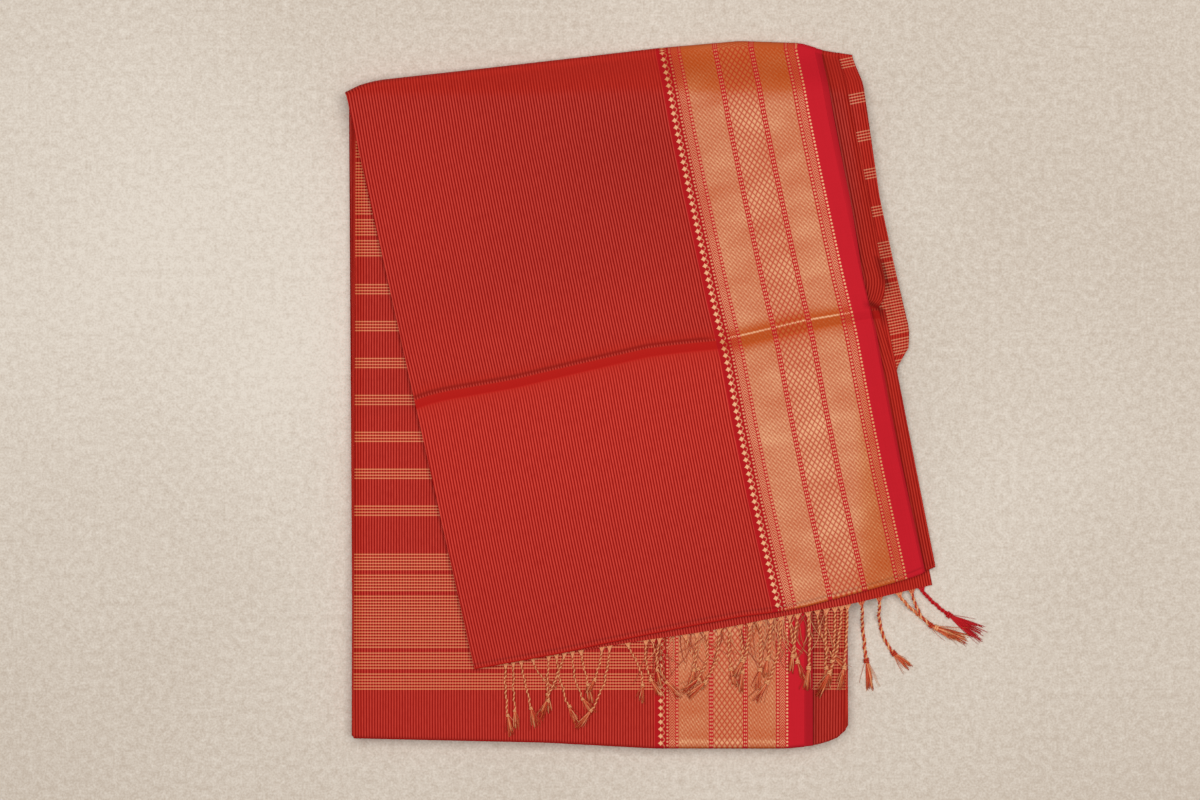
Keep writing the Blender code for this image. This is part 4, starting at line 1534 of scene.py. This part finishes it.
def add_root(threads, strand, line, chance, slots):
    """Warp threads gathered from the cloth's edge into the head of a cord."""
    reach = min(2.7, strand.half * 4.2)
    for number in range(ROOT_THREADS):
        across = (2.0 * number / (ROOT_THREADS - 1) - 1.0) * reach
        x, y = across_edge(HEM_EDGE, strand.root + across)
        x0, y0 = across_edge(HEM_EDGE, strand.root + across * 0.3)
        meet = line[min(3, len(line) - 1)]
        start = np.array([float(x), float(y) + 0.6, float(hem_centre(x, y + 0.6)) + 0.1])
        bend = np.array([float(x0), float(y0) - 1.2, (start[2] + meet[2]) / 2])
        part = np.linspace(0.0, 1.0, 6)[:, None]
        curve = (1 - part) ** 2 * start + 2 * part * (1 - part) * bend + part ** 2 * meet
        curve[-1] = meet + (chance.random(3) - 0.5) * 0.3
        threads.tube(curve, 0.2, slots[0] if number % 3 else slots[1], 4)


def crook(line, half, chance):
    """Small kinks of a twisted cord, none at its root."""
    count = len(line)
    tangent = np.gradient(line[:, :2], axis=0)
    tangent /= np.linalg.norm(tangent, axis=1)[:, None]
    side = np.stack([-tangent[:, 1], tangent[:, 0]], axis=1)
    place = np.arange(count) * PATH_STEP
    swing = np.zeros(count)
    for period in (6.5, 10.0, 17.0):
        phase = chance.random() * math.tau
        swing += np.sin(place / (period * (0.8 + 0.4 * chance.random())) * math.tau + phase)
    amount = 0.2 if half < 0.9 else 0.14
    hold = smooth((place - 3.0) / 6.0)
    result = line.copy()
    result[:, :2] += side * (swing * amount * hold)[:, None]
    return result


def add_loose_threads(threads, chance):
    """Thin threads that have worked loose among the cords on the stack."""
    for number in range(LOOSE_THREADS):
        root = LOOSE_START + LOOSE_REACH * chance.random() ** 0.8
        x, y = across_edge(HEM_EDGE, root)
        heading = math.radians((chance.random() - 0.5) * 70.0)
        bend = math.radians((chance.random() - 0.5) * 22.0)
        length = 14.0 + 22.0 * chance.random()
        place = np.array([float(x), float(y) - STRIP_GAP])
        points = []
        while len(points) < int(length / LOOSE_STEP):
            points.append(place.copy())
            heading += bend * 0.5 + (chance.random() - 0.5) * 0.35
            heading *= 0.93
            place = place + LOOSE_STEP * np.array([math.sin(heading), -math.cos(heading)])
        flat = np.array(points)
        top = stack_centre(STACK_LEVELS - 1, flat[:, 0], flat[:, 1]) + PACKET / 2
        rise = 0.5 + 1.2 * chance.random()
        ease = 1.0 - smooth(np.arange(len(flat)) / 4.0)
        start = float(hem_centre(x, y)) - 0.3
        high = (top + rise) * (1.0 - ease) + start * ease
        radii = np.linspace(0.24, 0.12, len(flat))
        threads.tube(np.column_stack([flat, high]), radii, LOOSE_SLOTS[number % 6], 4)


def add_tuft(threads, strand, path, under, first, chance, slots, count):
    """Frayed thread ends past the knot."""
    base = np.array([path[first][0], path[first][1], under[first] + strand.half])
    heading = path[-1] - path[first]
    length = np.linalg.norm(heading) + 1e-6
    heading = heading / length
    side = np.array([-heading[1], heading[0]])
    steps = np.linspace(0.0, 1.0, TUFT_POINTS)
    thick = strand.root > STACK_SIDE_ROOT
    colours = (ORANGE, ORANGE, GOLD, RED) if thick else (ORANGE, RED, ORANGE, GOLD, RED)
    if strand.gold < 0:
        colours = slots[:1]
    wide = 0.5 if strand.gold < 0 else 0.34
    for number in range(int(count * (3.0 if thick else 1.9) * (0.6 + strand.half))):
        loose = number % 6 == 0
        spread = (chance.random() - 0.5) * (0.9 if loose else wide)
        reach = length * (0.65 + 0.5 * chance.random())
        curl = (chance.random() - 0.5) * (2.2 if loose else 0.8)
        high = chance.random()
        line = np.zeros((TUFT_POINTS, 3))
        for index, step in enumerate(steps):
            away = reach * step
            swing = (away + 1.2) * spread * 0.9 + math.sin(step * 2.4) * curl
            line[index, :2] = base[:2] + heading * away + side * swing
            rest = np.interp(first + away / PATH_STEP, np.arange(len(under)), under)
            line[index, 2] = max(rest + 0.2, base[2] * (1 - step)
                                 + (rest + 0.3 + 1.3 * high) * step)
        radii = np.linspace(0.42, 0.18, TUFT_POINTS) * (0.5 if loose else 1.0)
        threads.tube(line, radii, colours[number % len(colours)], 3)


# Operators


# Floor, lamp and camera, in metres
FLOOR_HALF = 1.6
LAMP_SIZE = (1.9, 1.6)
LAMP_PLACE = (0.12, 0.16, 2.3)
CAMERA_PLACE = (-0.0003, 0.010)
PILE_MIDDLE = 0.008


class SARI_OT_stack_top(Operator):
    """Fringed span and the top level of the stack"""

    bl_idname = "sari.stack_top"
    bl_label = "Fringed span and stack top"

    def execute(self, context):
        stations = span_stations(HEM_SPAN, np.linspace(0.0, 0.9, 60))
        stations += span_stations(HEM_SPAN, np.linspace(0.91, 1.0, 12))
        stations += loop_stations(HEM_SPAN, 5)
        stations += span_stations(STACK_TOP_SPAN, np.linspace(0.0, 0.08, 12))
        stations += span_stations(STACK_TOP_SPAN, np.linspace(0.09, 0.975, 52))
        stations += span_stations(STACK_TOP_SPAN, 1.0 - NEAR_ROWS / STACK_TOP_LENGTH)
        stations += loop_stations(STACK_TOP_SPAN, 7)
        stations += span_stations(STACK_NEXT_SPAN, (0.0, 0.03, 0.06))
        piece, length = cloth_piece("sari_stack_top", stations, PlyCounts(36, 12, 10, 30, 16))
        dress(piece)
        return {"FINISHED"}


class SARI_OT_stack(Operator):
    """Levels of the stack between its top and the floor"""

    bl_idname = "sari.stack"
    bl_label = "Stack levels"

    def execute(self, context):
        stations = span_stations(STACK_NEXT_SPAN, LEVEL_ROWS[2:])
        for span in range(STACK_NEXT_SPAN + 1, STACK_LAST_SPAN):
            stations += loop_stations(span - 1, 7)
            stations += span_stations(span, LEVEL_ROWS)
        stations += loop_stations(STACK_LAST_SPAN - 1, 7)
        stations += span_stations(STACK_LAST_SPAN, LEVEL_ROWS[:-2])
        piece, length = cloth_piece("sari_stack", stations, PlyCounts(16, 10, 8, 16, 7))
        dress(piece)
        return {"FINISHED"}


class SARI_OT_flap(Operator):
    """Flap turned over the stack, with its hidden free end"""

    bl_idname = "sari.flap"
    bl_label = "Flap"

    def execute(self, context):
        stations = span_stations(STACK_LAST_SPAN, (0.94, 0.97, 1.0))
        stations += loop_stations(STACK_LAST_SPAN, 17)
        stations += span_stations(FLAP_SPAN, flap_shares())
        stations += loop_stations(FLAP_SPAN, 7)
        stations += span_stations(UNDER_SPAN, np.linspace(0.0, 1.0, 12))
        piece, length = cloth_piece("sari_flap", stations, PlyCounts(48, 12, 10, 16, 17))
        dress(piece)
        return {"FINISHED"}


class SARI_OT_fringe(Operator):
    """Twisted cords, knots and frayed ends of the fringe"""

    bl_idname = "sari.fringe"
    bl_label = "Fringe"

    def execute(self, context):
        piece = build_fringe()
        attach(piece, BODY)
        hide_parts("fringe")
        return {"FINISHED"}


class SARI_OT_stage(Operator):
    """Floor, soft light and camera"""

    bl_idname = "sari.stage"
    bl_label = "Stage"

    def execute(self, context):
        stage = context.scene.sari_stage
        build_floor()
        build_lights(stage)
        build_camera(stage)
        context.scene.view_settings.view_transform = "Standard"
        return {"FINISHED"}


def dress(piece):
    """Attach a length of cloth to the body and hide the solid it stands for."""
    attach(piece, BODY)
    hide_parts("sari")


def build_floor():
    """Plain pale floor under the cloth."""
    half = FLOOR_HALF
    mesh = bpy.data.meshes.new("floor")
    mesh.from_pydata([(-half, -half, 0.0), (half, -half, 0.0), (half, half, 0.0),
                      (-half, half, 0.0)], [], [(0, 1, 2, 3)])
    mesh.materials.append(floor_material())
    floor = bpy.data.objects.new("floor", mesh)
    bpy.context.scene.collection.objects.link(floor)


def build_lights(stage):
    """Large soft lamp overhead and even fill."""
    lamp = bpy.data.lights.new("Soft lamp", "AREA")
    lamp.shape = "RECTANGLE"
    lamp.size, lamp.size_y = LAMP_SIZE
    lamp.energy = stage.light_power
    lamp.color = (1.0, 0.985, 0.97)
    holder = bpy.data.objects.new("Soft lamp", lamp)
    holder.location = LAMP_PLACE
    bpy.context.scene.collection.objects.link(holder)
    world = bpy.data.worlds.new("Fill")
    world.use_nodes = True
    back = world.node_tree.nodes["Background"]
    back.inputs["Color"].default_value = (1.0, 0.99, 0.98, 1.0)
    back.inputs["Strength"].default_value = stage.sky_strength
    bpy.context.scene.world = world


def build_camera(stage):
    """Camera straight above the cloth."""
    data = bpy.data.cameras.new("Camera")
    data.lens = stage.focal_length
    data.sensor_width = 36.0
    camera = bpy.data.objects.new("Camera", data)
    camera.location = (*CAMERA_PLACE, stage.camera_distance + PILE_MIDDLE)
    bpy.context.scene.collection.objects.link(camera)
    bpy.context.scene.camera = camera


class SARI_PT_panel(Panel):
    """Sizes, colours and pieces of the sari"""

    bl_idname = "SARI_PT_panel"
    bl_label = "Folded sari"
    bl_space_type = "VIEW_3D"
    bl_region_type = "UI"
    bl_category = "Sari"

    def draw(self, context):
        scene = context.scene
        for group in (scene.sari_sizes, scene.sari_colours, scene.sari_stage):
            box = self.layout.box()
            for name in group.__annotations__:
                box.prop(group, name)
        for operator in PIECES:
            self.layout.operator(operator.bl_idname)


PIECES = (SARI_OT_stage, SARI_OT_stack, SARI_OT_stack_top, SARI_OT_flap, SARI_OT_fringe)
CLASSES = (SariSizes, SariColours, SariStage) + PIECES + (SARI_PT_panel,)


def register():
    for cls in CLASSES:
        bpy.utils.register_class(cls)
    bpy.types.Scene.sari_sizes = PointerProperty(type=SariSizes)
    bpy.types.Scene.sari_colours = PointerProperty(type=SariColours)
    bpy.types.Scene.sari_stage = PointerProperty(type=SariStage)


def unregister():
    del bpy.types.Scene.sari_stage
    del bpy.types.Scene.sari_colours
    del bpy.types.Scene.sari_sizes
    for cls in reversed(CLASSES):
        bpy.utils.unregister_class(cls)


def main():
    register()
    bpy.ops.sari.stage()
    bpy.ops.sari.stack()
    bpy.ops.sari.stack_top()
    bpy.ops.sari.flap()
    bpy.ops.sari.fringe()


if __name__ == "__main__":
    main()
